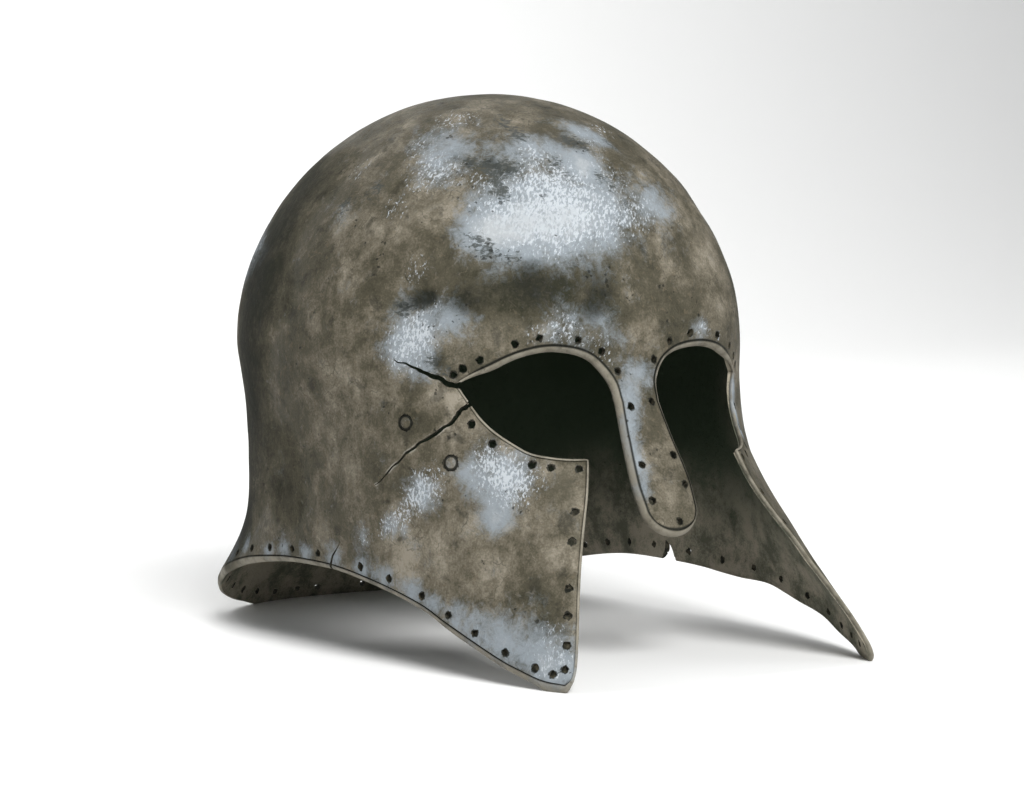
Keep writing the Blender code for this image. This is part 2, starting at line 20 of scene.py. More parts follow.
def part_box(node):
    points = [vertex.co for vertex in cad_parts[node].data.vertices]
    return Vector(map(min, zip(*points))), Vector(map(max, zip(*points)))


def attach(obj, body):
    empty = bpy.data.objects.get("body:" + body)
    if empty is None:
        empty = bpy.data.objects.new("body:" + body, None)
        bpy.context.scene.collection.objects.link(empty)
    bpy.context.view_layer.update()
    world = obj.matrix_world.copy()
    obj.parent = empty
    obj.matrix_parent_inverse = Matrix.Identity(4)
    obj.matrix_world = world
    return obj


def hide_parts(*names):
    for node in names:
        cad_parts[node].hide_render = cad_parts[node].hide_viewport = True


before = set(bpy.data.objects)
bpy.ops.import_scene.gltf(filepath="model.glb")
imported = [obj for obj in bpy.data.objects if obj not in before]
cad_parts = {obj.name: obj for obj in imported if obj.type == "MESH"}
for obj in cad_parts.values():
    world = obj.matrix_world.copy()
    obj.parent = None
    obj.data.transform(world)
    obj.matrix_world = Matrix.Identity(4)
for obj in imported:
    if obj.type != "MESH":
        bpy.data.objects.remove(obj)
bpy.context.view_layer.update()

shell_low, shell_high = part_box("shell")
print("The helmet measures", [round(1000 * side) for side in shell_high - shell_low], "mm")

# %% [markdown]
# The camera comes first, because it decides which side of the helmet has to look best.
# It looks from the wearer's right, a little above the ground, with a long lens. A long
# lens keeps the near cheek guard from growing larger than it is.

# %% Camera
CAMERA_AZIMUTH = -35.0
CAMERA_ELEVATION = 4.0
CAMERA_DISTANCE = 1.235
CAMERA_LENS = 99.35
CAMERA_CLIP_START = 0.05
AIM = Vector((0.0079, 0.0049, 0.1023))


def add_camera():
    """Stand the camera at its distance from the point that it aims at."""
    azimuth, elevation = math.radians(CAMERA_AZIMUTH), math.radians(CAMERA_ELEVATION)
    back = Vector((math.sin(azimuth) * math.cos(elevation),
                   -math.cos(azimuth) * math.cos(elevation), math.sin(elevation)))
    data = bpy.data.cameras.new("camera")
    data.lens = CAMERA_LENS
    data.clip_start = CAMERA_CLIP_START
    camera = bpy.data.objects.new("camera", data)
    camera.location = AIM + back * CAMERA_DISTANCE
    camera.rotation_euler = (-back).to_track_quat("-Z", "Y").to_euler()
    bpy.context.scene.collection.objects.link(camera)
    bpy.context.scene.camera = camera
    return camera


camera = add_camera()
print("Camera at", [round(value, 3) for value in camera.location])

# %% [markdown]
# The floor and the backdrop are one pale sheet that curves up behind the helmet, as
# paper does in a small studio. One wide soft lamp stands above the camera, so the brow
# and the near cheek are bright and the far sides of the dome fall into shade. A weak
# lamp on each side keeps the shade from going black, and one more lights only the
# backdrop, so that it stays white without bright edges on the dome.

# %% Studio
FLOOR_HALF_WIDTH = 4.0
FLOOR_FRONT = -4.0
BACKDROP_START = 1.6
BACKDROP_RADIUS = 1.2
BACKDROP_HEIGHT = 3.0
BACKDROP_STEPS = 16
PAPER = (0.86, 0.86, 0.85)
PAPER_ROUGHNESS = 0.9
AIR_COLOUR = (0.95, 0.97, 1.0, 1.0)
AIR_STRENGTH = 0.30

# Lamps as name, place, size, target and power
LAMPS = (
    ("key_lamp", (-0.40, -1.50, 1.30), (0.9, 0.7), AIM, 50.0),
    ("right_lamp", (-2.2, 0.1, 0.9), (1.0, 1.4), AIM, 1.5),
    ("left_lamp", (1.9, -1.1, 0.9), (1.0, 1.4), AIM, 8.0),
    ("backdrop_lamp", (0.0, 0.9, 2.3), (3.0, 0.8), Vector((0.0, 3.0, 0.6)), 70.0),
)


def plain_material(name, colour, roughness):
    """Make a material of one colour, for what isn't part of the helmet."""
    material = bpy.data.materials.new(name)
    material.use_nodes = True
    shader = material.node_tree.nodes["Principled BSDF"]
    shader.inputs["Base Color"].default_value = (*colour, 1.0)
    shader.inputs["Roughness"].default_value = roughness
    return material


def add_piece(name, mesh, material):
    """Turn a finished bmesh into an object with one material."""
    data = bpy.data.meshes.new(name)
    mesh.to_mesh(data)
    mesh.free()
    data.materials.append(material)
    piece = bpy.data.objects.new(name, data)
    bpy.context.scene.collection.objects.link(piece)
    return piece


def of_kind(items, kind):
    """Pick the points, the edges or the faces out of what an operator made."""
    return [item for item in items if isinstance(item, kind)]


def pull_row(mesh, edges):
    """Extrude a row of edges, and give its new points and the new row."""
    made = bmesh.ops.extrude_edge_only(mesh, edges=edges)["geom"]
    points = of_kind(made, bmesh.types.BMVert)
    fresh = set(points)
    return points, [edge for edge in of_kind(made, bmesh.types.BMEdge)
                    if all(corner in fresh for corner in edge.verts)]


def add_backdrop():
    """Sweep the floor's back edge up into a wall."""
    mesh = bmesh.new()
    ends = [mesh.verts.new((side * FLOOR_HALF_WIDTH, FLOOR_FRONT, 0.0)) for side in (-1, 1)]
    row = [mesh.edges.new(ends)]
    offsets = [Vector((0.0, BACKDROP_START - FLOOR_FRONT, 0.0))]
    for step in range(BACKDROP_STEPS):
        start, end = (math.pi / 2 * (step + far) / BACKDROP_STEPS for far in (0, 1))
        offsets.append(BACKDROP_RADIUS * Vector((0.0, math.sin(end) - math.sin(start),
                                                 math.cos(start) - math.cos(end))))
    offsets.append(Vector((0.0, 0.0, BACKDROP_HEIGHT)))
    for offset in offsets:
        points, row = pull_row(mesh, row)
        bmesh.ops.translate(mesh, vec=offset, verts=points)
    bmesh.ops.recalc_face_normals(mesh, faces=mesh.faces)
    paper = plain_material("backdrop_paper", PAPER, PAPER_ROUGHNESS)
    backdrop = add_piece("backdrop", mesh, paper)
    backdrop.data.shade_smooth()


def add_lamp(name, place, size, target, power):
    """Hang a soft lamp that faces its target."""
    data = bpy.data.lights.new(name, "AREA")
    data.shape = "RECTANGLE"
    data.size = size[0]
    data.size_y = size[1]
    data.energy = power
    lamp = bpy.data.objects.new(name, data)
    lamp.location = place
    lamp.rotation_euler = (target - Vector(place)).to_track_quat("-Z", "Y").to_euler()
    bpy.context.scene.collection.objects.link(lamp)


add_backdrop()
for lamp_row in LAMPS:
    add_lamp(*lamp_row)
world = bpy.data.worlds.new("studio_air")
world.use_nodes = True
world.node_tree.nodes["Background"].inputs["Color"].default_value = AIR_COLOUR
world.node_tree.nodes["Background"].inputs["Strength"].default_value = AIR_STRENGTH
bpy.context.scene.world = world
bpy.context.scene.view_settings.view_transform = "Standard"

# %% [markdown]
# The smith's form can be described by plan sections: at each height the helmet is a
# rounded oval that leans forward over the cheeks and flares out over the neck. A place
# on it has a turn, the angle round the head from 0 at the nose to 180 at the nape, and a
# level, 0 at the temples, 1 on the ground and -1 at the top of the crown. The sections
# are a short table of shares, and one smooth curve runs through each column. It would
# also be possible to sculpt the dome, but a table keeps both halves alike.

# %% Sections of the head form
TEMPLE_HEIGHT = 0.1255
CROWN_RISE = shell_high.z - TEMPLE_HEIGHT
HALF_WIDTH = 0.103
BROW_REACH = 0.1026
CHEEK_LEAN = 0.0855
NOSE_LEAN = 0.0328
BACK_REACH = 0.115
NECK_FLARE = 0.0266
LEFT_CHEEK_SPREAD = 0.0155
PLAN_POWER = 2.25
NOSE_TURN = 8.0
CHEEK_TURN = 38.0
LOW_CHEEK_TURN = 14.0
LOW_CHEEK_LEVELS = (0.04, 0.30)
SPREAD_TURNS = (18.0, 55.0, 100.0)
SPREAD_LEVELS = (0.36, 1.0)
SPREAD_FORWARD = 0.5
FLARE_TURNS = (82.0, 128.0)
SIDES = {"right": -1.0, "left": 1.0}

SECTION_COLUMNS = ("level", "width", "nose_brow", "cheek_brow", "nose", "cheek", "back", "flare")
SECTIONS = (
    (-1.00, 1.000, 1.045, 1.045, 0.00, 0.00, 0.985, 0.00),
    (-0.52, 1.000, 1.037, 1.055, 0.00, 0.00, 0.992, 0.00),
    (-0.22, 1.000, 1.014, 1.060, 0.00, 0.00, 1.000, 0.00),
    (0.00, 1.000, 1.000, 1.074, 0.00, 0.00, 1.000, 0.00),
    (0.09, 0.991, 1.000, 1.074, 0.09, 0.05, 0.992, 0.00),
    (0.23, 0.968, 1.000, 1.074, 0.33, 0.19, 0.971, 0.00),
    (0.42, 0.949, 1.000, 1.074, 0.73, 0.38, 0.955, 0.02),
    (0.58, 0.940, 1.000, 1.074, 1.00, 0.53, 0.950, 0.09),
    (0.68, 0.931, 1.000, 1.074, 1.16, 0.62, 0.942, 0.28),
    (0.80, 0.931, 1.000, 1.074, 1.36, 0.75, 0.934, 0.60),
    (0.91, 0.940, 1.000, 1.074, 1.55, 0.89, 0.960, 0.90),
    (1.00, 0.949, 1.000, 1.074, 1.70, 1.00, 1.000, 1.00),
    (1.10, 0.958, 1.000, 1.074, 1.87, 1.12, 1.040, 1.22),
)


def ease(low, high, value):
    """Rise smoothly from 0 at low to 1 at high."""
    share = min(max((value - low) / (high - low), 0.0), 1.0)
    return share * share * (3.0 - 2.0 * share)


def curve_through(rows, place):
    """Read the smooth curve through rows, whose first column is its place."""
    last = len(rows) - 1
    place = min(max(place, rows[0][0]), rows[last][0])
    index = 0
    while index < last - 1 and place > rows[index + 1][0]:
        index += 1
    here, there = rows[index], rows[index + 1]
    before, after = rows[max(index - 1, 0)], rows[min(index + 2, last)]
    span = there[0] - here[0]
    share = (place - here[0]) / span
    values = []
    for column in range(1, len(here)):
        leaving = (there[column] - before[column]) / (there[0] - before[0]) * span
        arriving = (after[column] - here[column]) / (after[0] - here[0]) * span
        values.append(
            (2 * share**3 - 3 * share**2 + 1) * here[column]
            + (share**3 - 2 * share**2 + share) * leaving
            + (3 * share**2 - 2 * share**3) * there[column]
            + (share**3 - share**2) * arriving)
    return values


def section(level):
    """Give the plan section at a level, in metres."""
    row = dict(zip(SECTION_COLUMNS[1:], curve_through(SECTIONS, level)))
    return {
        "width": HALF_WIDTH * row["width"],
        "nose": BROW_REACH * row["nose_brow"] + NOSE_LEAN * row["nose"],
        "cheek": BROW_REACH * row["cheek_brow"] + CHEEK_LEAN * row["cheek"],
        "back": BACK_REACH * row["back"],
        "flare": NECK_FLARE * row["flare"],
    }


def height(level):
    """Turn a level into a height above the ground."""
    rise = TEMPLE_HEIGHT if level > 0 else CROWN_RISE
    return TEMPLE_HEIGHT - rise * level


def smooth_skin(side, turn, level):
    """Place a point of the undented outer skin, with the dome's axis at the origin."""
    plan = section(level)
    cheek_turn = CHEEK_TURN + (LOW_CHEEK_TURN - CHEEK_TURN) * ease(*LOW_CHEEK_LEVELS, level)
    front = plan["nose"] + (plan["cheek"] - plan["nose"]) * ease(NOSE_TURN, cheek_turn, turn)
    dome = math.sqrt(max(1.0 - min(level, 0.0) ** 2, 0.0))
    angle = math.radians(turn)
    across = plan["width"] * dome * abs(math.sin(angle)) ** (2 / PLAN_POWER)
    reach = -front if turn < 90 else plan["back"]
    lengthways = reach * dome * abs(math.cos(angle)) ** (2 / PLAN_POWER)
    point = Vector((across, lengthways, 0.0))
    if point.length > 0:
        point += point.normalized() * plan["flare"] * ease(*FLARE_TURNS, turn)
    if side == "left":
        full_from, full_to, gone = SPREAD_TURNS
        spread = LEFT_CHEEK_SPREAD * ease(*SPREAD_LEVELS, level)
        spread *= ease(NOSE_TURN, full_from, turn) * (1 - ease(full_to, gone, turn))
        point += Vector((spread, -spread * SPREAD_FORWARD, 0.0))
    point.x *= SIDES[side]
    point.z = height(level)
    return point


NECK_RIM_LEVEL = 0.977
DOME_AXIS = Vector((0.0, shell_high.y - smooth_skin("right", 180.0, NECK_RIM_LEVEL).y, 0.0))
print("The dome's axis stands at y =", round(DOME_AXIS.y, 4))

# %% [markdown]
# Two thousand years in the ground have dented the dome. Each dent is a soft hollow with
# a centre, a radius and a depth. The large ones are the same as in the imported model, and
# smaller ones follow: the deep dint above the right eye, the wrinkles of the forehead and
# the crown, and shallow hammer marks all over. A negative depth is a ridge. A dent could
# be sculpted or drawn as bump only, but real hollows also change the outline and the
# shade.

# %% Dents and hammer marks
DENT_DEPTH = 0.004

# Hammer marks as size and depth in metres
HAMMER_MARKS = ((0.011, 0.00022), (0.028, 0.00045))

# Dents as side, turn, level, radius as a share of the half width, and share of DENT_DEPTH
DENTS = (
    ("right", 53.0, -0.21, 0.17, 0.90),
    ("right", 64.0, -0.10, 0.16, 0.35),
    ("right", 26.0, -0.58, 0.20, 0.40),
    ("right", 55.0, -0.72, 0.22, 0.35),
    ("right", 150.0, -0.55, 0.24, 0.30),
    ("right", 43.0, 0.55, 0.17, 0.40),
    ("right", 58.0, 0.53, 0.20, 0.35),
    ("right", 80.0, 0.22, 0.24, 0.30),
    ("left", 40.0, 0.22, 0.28, 1.90),
    ("left", 30.0, 0.44, 0.24, 0.90),
    ("left", 75.0, -0.40, 0.25, 0.45),
    ("left", 110.0, 0.30, 0.24, 0.40),
    ("left", 150.0, -0.15, 0.22, 0.35),
    ("left", 60.0, 0.62, 0.20, 0.40),
)
SMALL_DENTS = (
    ("right", 51.0, -0.230, 0.055, 0.70),
    ("right", 56.0, -0.195, 0.055, 0.60),
    ("right", 53.0, -0.310, 0.060, -0.25),
    ("right", 44.5, -0.745, 0.040, 0.26),
    ("right", 37.0, -0.725, 0.038, 0.28),
    ("right", 31.0, -0.700, 0.040, 0.32),
    ("right", 25.0, -0.695, 0.036, 0.26),
    ("right", 34.0, -0.640, 0.045, -0.20),
    ("right", 31.5, -0.595, 0.034, 0.26),
    ("right", 25.0, -0.600, 0.034, 0.30),
    ("right", 18.0, -0.610, 0.034, 0.28),
    ("right", 12.0, -0.700, 0.042, 0.30),
    ("right", 5.0, -0.840, 0.055, 0.30),
    ("right", 3.0, -0.730, 0.040, -0.20),
    ("left", 8.0, -0.690, 0.042, 0.24),
    ("left", 20.0, -0.800, 0.055, 0.24),
    ("right", 20.0, -0.880, 0.070, 0.20),
    ("right", 38.5, 0.720, 0.055, 0.24),
    ("right", 47.0, 0.520, 0.060, 0.28),
    ("right", 95.0, -0.300, 0.120, 0.25),
    ("right", 120.0, 0.150, 0.110, 0.25),
    ("left", 20.0, -0.350, 0.100, 0.22),
    ("left", 48.0, -0.550, 0.080, 0.25),
    ("left", 95.0, 0.050, 0.120, 0.30),
    ("left", 130.0, -0.600, 0.110, 0.25),
    ("left", 165.0, 0.350, 0.120, 0.25),
)
DENT_CENTRES = [
    (smooth_skin(side, turn, level), radius * HALF_WIDTH, depth * DENT_DEPTH)
    for side, turn, level, radius, depth in DENTS + SMALL_DENTS]


def skin(side, turn, level):
    """Place a point of the outer skin, with its dents."""
    point = smooth_skin(side, turn, level)
    push = 0.0
    for centre, radius, depth in DENT_CENTRES:
        push += depth * math.exp(-(((point - centre).length / radius) ** 2))
    foot = min(point.z, TEMPLE_HEIGHT) if level > 0 else TEMPLE_HEIGHT
    return point + (Vector((0.0, 0.0, foot)) - point).normalized() * push


def outward(side, turn, level):
    """Give the outward direction of the skin at a place."""
    turn_step, level_step = 0.5, 0.01
    turn = min(max(turn, turn_step), 180.0 - turn_step)
    across = skin(side, turn + turn_step, level) - skin(side, turn - turn_step, level)
    down = skin(side, turn, level + level_step) - skin(side, turn, level - level_step)
    return (down.cross(across) * SIDES[side]).normalized()


def hammered(point):
    """Give the small inward push of the hammer marks at a point."""
    return sum(depth * noise.noise(point / size) for size, depth in HAMMER_MARKS)


print("Dents:", len(DENT_CENTRES), "deepest", max(depth for *_, depth in DENT_CENTRES), "m")

# %% [markdown]
# The edges are the helmet's drawing: the arched brows, the long nasal with its round
# end, the straight front edges of the cheek guards, and the low rim that runs back to the
# neck. Each edge is a few given points with a smooth curve through them.

# %% Edges of the helmet
NASAL_HALF_WIDTH = 0.0129
NASAL_TOP = 0.146
NASAL_END = 0.545
NASAL_CORNER_ANGLE = 45.0
NASAL_WIDTHS = ((0.00, 0.69), (0.27, 0.82), (0.62, 1.00), (0.81, 0.96))
ARCH = {
    "right": ((0.012, 0.076), (0.085, 0.010), (0.203, -0.031), (0.393, -0.046),
              (0.587, -0.026), (0.775, 0.018), (0.902, 0.049), (1.000, 0.078)),
    "left": ((0.018, 0.070), (0.103, 0.004), (0.229, -0.034), (0.425, -0.046),
             (0.633, -0.028), (0.821, 0.014), (0.931, 0.048), (1.000, 0.078)),
}
EYE_LOW = {
    "right": ((44.6, 0.078), (43.1, 0.137), (41.8, 0.189), (39.6, 0.231), (36.2, 0.270),
              (33.5, 0.294), (29.4, 0.306), (25.1, 0.312), (21.1, 0.312)),
    "left": ((41.6, 0.078), (39.8, 0.137), (38.6, 0.189), (37.2, 0.231), (35.0, 0.270),
             (32.6, 0.294), (29.0, 0.306), (25.1, 0.312), (21.4, 0.314)),
}
FRONT = {
    "right": ((21.1, 0.312), (23.8, 0.399), (26.8, 0.488), (29.6, 0.577), (32.9, 0.696),
              (35.2, 0.784), (37.5, 0.870), (39.7, 0.946), (41.5, 0.974)),
    "left": ((21.4, 0.314), (23.8, 0.399), (26.8, 0.488), (29.6, 0.577), (32.7, 0.696),
             (34.8, 0.784), (36.6, 0.870), (38.0, 0.940), (40.0, 0.974)),
}
LOW_RIM = {
    "right": ((41.5, 0.974), (45.5, 0.966), (49.3, 0.940), (52.3, 0.915), (57.0, 0.866),
              (61.2, 0.822), (65.5, 0.776), (73.3, 0.728), (82.9, 0.694), (92.0, 0.690),
              (102.0, 0.703), (112.0, 0.728), (124.0, 0.780), (135.0, 0.838), (145.0, 0.898),
              (154.0, 0.944), (163.0, 0.970), (172.0, 0.977), (180.0, NECK_RIM_LEVEL)),
    "left": ((40.0, 0.974), (45.5, 0.966), (49.3, 0.944), (53.0, 0.923), (57.0, 0.880),
             (63.0, 0.849), (69.0, 0.808), (76.0, 0.803), (84.0, 0.786), (92.0, 0.780),
             (102.0, 0.784), (112.0, 0.802), (124.0, 0.838), (135.0, 0.880), (145.0, 0.922),
             (154.0, 0.954), (163.0, 0.972), (172.0, 0.977), (180.0, NECK_RIM_LEVEL)),
}


def along(points, share):
    """Find the turn and level at a share of the way along an edge."""
    rows = [(index / (len(points) - 1), *point) for index, point in enumerate(points)]
    return curve_through(rows, share)


def nasal_level(share):
    """Give the level at a share of the nasal's length."""
    return NASAL_TOP + (NASAL_END - NASAL_TOP) * share


def nasal_outline(level):
    """Give the nasal's half width at a level, as a share of its greatest half width."""
    share = (level - NASAL_TOP) / (NASAL_END - NASAL_TOP)
    width = curve_through(NASAL_WIDTHS, share)[0]
    round_from = NASAL_WIDTHS[-1][0]
    if share > round_from:
        width *= math.sqrt(max(1 - ((share - round_from) / (1 - round_from)) ** 2, 0.0))
    return width


def nasal_spot(width, level):
    """Turn a share of the nasal's half width into a turn."""
    across = NASAL_HALF_WIDTH * max(width, 0.0) / section(level)["width"]
    return math.degrees(math.asin(across ** (PLAN_POWER / 2))), level


def nasal_share(turn, level):
    """Turn a turn into a share of the nasal's half width."""
    across = math.sin(math.radians(turn)) ** (2 / PLAN_POWER)
    return across * section(level)["width"] / NASAL_HALF_WIDTH


def nasal_edge(share):
    """Follow the nasal's side from its root to the middle of its round end."""
    level = nasal_level(math.sin(share * math.pi / 2))
    return nasal_spot(nasal_outline(level), level)


def arch_points(side):
    """List the upper edge of an eye as turns and levels, from the nasal's root backwards."""
    root_turn, root_level = nasal_edge(0.0)
    corner_turn = EYE_LOW[side][0][0]
    arch = [(root_turn + (corner_turn - root_turn) * share, level) for share, level in ARCH[side]]
    return [(root_turn, root_level), *arch]


def edge_path(side, name):
    """Give the function that follows an edge by its share."""
    if name == "nasal":
        return nasal_edge
    if name == "arch":
        return lambda share: along(arch_points(side)[1:], share)
    edges = {"eye_low": EYE_LOW, "front": FRONT, "low_rim": LOW_RIM}
    return lambda share: along(edges[name][side], share)


drawn_edges = [path for halves in (ARCH, EYE_LOW, FRONT, LOW_RIM) for path in halves.values()]
print("Points on the drawn edges:", sum(len(path) for path in drawn_edges))

# %% [markdown]
# The skin is laid as six patches, three on each half: crown, nasal and cheek. Each starts
# as a flat bmesh grid whose points are then carried onto the head form. Every patch is
# blended between its own four edges, so its rows run along the rim and its first row
# stays close to it. One subdivided sphere would have rows that cut across the eyes.

# %% Patches of the skin
FINENESS = 5
RIM_ROW_SHARE = 0.4
ROOT_SHARE = 0.25
ROOT_LEVEL = 0.007
NASAL_COLUMNS = 2 * FINENESS
ROOT_ROWS = 2 * FINENESS
NASAL_ROWS = ROOT_ROWS + 7 * FINENESS
ARCH_COLUMNS = 8 * FINENESS
SIDE_COLUMNS = 18 * FINENESS
CROWN_COLUMNS = NASAL_COLUMNS + ARCH_COLUMNS + SIDE_COLUMNS
CROWN_ROWS = 12 * FINENESS
EYE_COLUMNS = 6 * FINENESS
CHEEK_COLUMNS = EYE_COLUMNS + SIDE_COLUMNS
CHEEK_ROWS = 10 * FINENESS
SEAM_MERGE = 0.00005
EDGE_NAMES = ("nasal", "arch", "eye_low", "front", "low_rim")


def patch_point(top, bottom, left, right, u, v):
    """Blend the four edges of a patch, each a function of its share of the way."""
    top_left, top_right = top(0.0), top(1.0)
    bottom_left, bottom_right = bottom(0.0), bottom(1.0)
    place = top(u).lerp(bottom(u), v) + left(v).lerp(right(v), u)
    return place - top_left.lerp(top_right, u).lerp(bottom_left.lerp(bottom_right, u), v)


def root_seam(side, share):
    """Follow the seam of crown and nasal from the middle line to the arch."""
    turn, level = along(arch_points(side), ROOT_SHARE)
    return Vector((0.0, ROOT_LEVEL)).lerp(Vector((nasal_share(turn, level), level)), share)


def nasal_place(side, u, v):
    """Map the patch of nasal and brow's middle, from its middle line to its edge."""
    round_from, round_width = NASAL_WIDTHS[-1]
    root_rows = ROOT_ROWS / NASAL_ROWS

    def bottom(share):
        angle = math.pi / 2 - math.radians(NASAL_CORNER_ANGLE) * share
        level = nasal_level(round_from + (1 - round_from) * math.sin(angle))
        return Vector((round_width * math.cos(angle), level))

    def right(share):
        if share < root_rows:
            turn, level = along(arch_points(side), ROOT_SHARE * (1 - share / root_rows))
            return Vector((nasal_share(turn, level), level))
        share = (share - root_rows) / (1 - root_rows)
        level = NASAL_TOP + (bottom(1.0).y - NASAL_TOP) * share
        return Vector((nasal_outline(level), level))

    place = patch_point(
        lambda share: root_seam(side, share), bottom,
        lambda share: Vector((0.0, ROOT_LEVEL + (NASAL_END - ROOT_LEVEL) * share)), right, u, v)
    return nasal_spot(place.x, place.y)


def near_rim(share, count):
    """Move the first row after an edge closer to it."""
    step = 1 / count
    return share * RIM_ROW_SHARE if share < 1.5 * step else share


def crown_place(side, u, v):
    """Map the crown's patch, whose foot is the nasal's root, the arch and a seam to the nape."""
    column = u * CROWN_COLUMNS
    v = near_rim(v, CROWN_ROWS)
    if column <= NASAL_COLUMNS:
        turn, level = nasal_spot(*root_seam(side, column / NASAL_COLUMNS))
    elif column <= NASAL_COLUMNS + ARCH_COLUMNS:
        share = (column - NASAL_COLUMNS) / ARCH_COLUMNS
        turn, level = along(arch_points(side), ROOT_SHARE + (1 - ROOT_SHARE) * share)
    else:
        corner_turn, level = EYE_LOW[side][0]
        share = (column - NASAL_COLUMNS - ARCH_COLUMNS) / SIDE_COLUMNS
        turn = corner_turn + (180.0 - corner_turn) * share
    rise = math.asin(-level) if level < 0 else -level
    rise += (math.pi / 2 - rise) * v
    level = -math.sin(rise) if rise > 0 else -rise
    return turn + (180.0 * u - turn) * ease(0.0, 1.0, v), level


def cheek_top(side, share):
    """Follow the lower edge of the eye back to its corner, then the seam to the nape."""
    column = share * CHEEK_COLUMNS
    if column <= EYE_COLUMNS:
        return Vector(along(EYE_LOW[side], 1 - column / EYE_COLUMNS))
    corner_turn, level = EYE_LOW[side][0]
    turn = corner_turn + (180.0 - corner_turn) * (column - EYE_COLUMNS) / SIDE_COLUMNS
    return Vector((turn, level))


def cheek_place(side, u, v):
    """Map the patch of cheek, side and neck between its four edges."""
    nape = cheek_top(side, 1.0)
    u = near_rim(u, CHEEK_COLUMNS)
    v = 1 - near_rim(1 - near_rim(v, CHEEK_ROWS), CHEEK_ROWS)
    place = patch_point(
        lambda share: cheek_top(side, share),
        lambda share: Vector(along(LOW_RIM[side], share)),
        lambda share: Vector(along(FRONT[side], share)),
        lambda share: nape.lerp(Vector(LOW_RIM[side][-1]), share), u, v)
    return place.x, place.y


def nasal_rim(u, v):
    """Name the edge that a point of the nasal's patch belongs to."""
    return "arch" if v < (ROOT_ROWS - 0.5) / NASAL_ROWS else "nasal"


def cheek_edge(u, v):
    """Name the edge that a point of the cheek's patch belongs to."""
    if v > 1 - 0.5 / CHEEK_ROWS:
        return "low_rim"
    return "front" if u < 0.5 / CHEEK_COLUMNS else "eye_low"


def lay_patch(mesh, side, columns, rows, place, edge_name):
    """Lay a patch of quads on the skin, and note the edge that each point belongs to."""
    names = mesh.verts.layers.int["edge"]
    made = bmesh.ops.create_grid(mesh, x_segments=columns, y_segments=rows, size=0.5)
    for corner in made["verts"]:
        u, v = corner.co.x + 0.5, corner.co.y + 0.5
        point = skin(side, *place(side, u, v))
        inwards = (Vector((0.0, 0.0, min(point.z, TEMPLE_HEIGHT))) - point).normalized()
        corner.co = point + inwards * hammered(point)
        corner[names] = max(corner[names], EDGE_NAMES.index(edge_name(u, v)))


def lay_skin():
    """Lay the six patches and join them along their seams."""
    mesh = bmesh.new()
    mesh.verts.layers.int.new("edge")
    for side in SIDES:
        lay_patch(mesh, side, CROWN_COLUMNS, CROWN_ROWS, crown_place, lambda u, v: "arch")
        lay_patch(mesh, side, NASAL_COLUMNS, NASAL_ROWS, nasal_place, nasal_rim)
        lay_patch(mesh, side, CHEEK_COLUMNS, CHEEK_ROWS, cheek_place, cheek_edge)
    bmesh.ops.remove_doubles(mesh, verts=mesh.verts, dist=SEAM_MERGE)
    bmesh.ops.recalc_face_normals(mesh, faces=mesh.faces)
    return mesh


skin_mesh = lay_skin()
rim_count = sum(edge.is_boundary for edge in skin_mesh.edges)
print("Skin:", len(skin_mesh.faces), "quads,", rim_count, "edges on its rim")

# %% [markdown]
# The lip is what gives the edges their line: the sheet stops at a fine groove, then the
# rim turns in as a rounded bevel. It is made by extruding the skin's open edge again and
# again, and each new ring is moved to its place in the lip's cross section. A second
# copy of the skin, moved inwards by the wall, is the inner face, and the last ring is
# drawn onto its rim and merged. A Solidify modifier is quicker but gives the rim a flat,
# sharp end.

# %% Lip and wall
WALL = 0.0017
RIM_WALL = 0.0031
PLAIN_RIM_WALL = 0.0022
RIM_FADE = 0.010
LIP_THICKNESS = 0.0013
GROOVE_DEPTH = 0.0007
CORNER_TAPER = (0.002, 0.020)
CORNER_LIP_SHARE = 0.35
WIDE_LIP = 0.0034
LIP_SMOOTHING = 5
NORMAL_SMOOTHING = 4
FOOT_REACH = 0.0009
FOOT_BLEND = 0.0024
CREASE_ON_LIP = 0.5
INNER_FROM = 0.5
SKIN_MARKS = ("lip", "crease", "inner")

# Run on past the crease, depth inwards and wall at the rim, for each edge
LIPS = {
    "nasal": (0.0020, 0.0036, RIM_WALL),
    "arch": (0.0027, 0.0027, RIM_WALL),
    "eye_low": (0.0009, 0.0010, PLAIN_RIM_WALL),
    "front": (0.0009, 0.0010, PLAIN_RIM_WALL),
    "low_rim": (0.0026, 0.0026, RIM_WALL),
}

# Rings of the lip's cross section as shares of the lip's length and of its thickness,
# where a positive thickness bulges out
LIP_RINGS = ((0.08, 0.05), (0.26, 0.32), (0.60, 0.40), (0.86, 0.22), (1.00, -0.15),
             (1.03, -0.50), (0.98, -0.85), (0.80, -1.00))


def walk_rim(mesh):
    """List the points of the open edge in order, round the whole helmet."""
    edge = next(edge for edge in mesh.edges if edge.is_boundary)
    start, point = edge.verts
    loop = [start]
    while point is not start:
        loop.append(point)
        edge = next(e for e in point.link_edges if e.is_boundary and e is not edge)
        point = edge.other_vert(point)
    return loop


def smoothed(values):
    """Even out values that run round the rim."""
    count = len(values)
    reach = range(-LIP_SMOOTHING, LIP_SMOOTHING + 1)
    return [sum((values[(index + step) % count] for step in reach), Vector()) / len(reach)
            for index in range(count)]


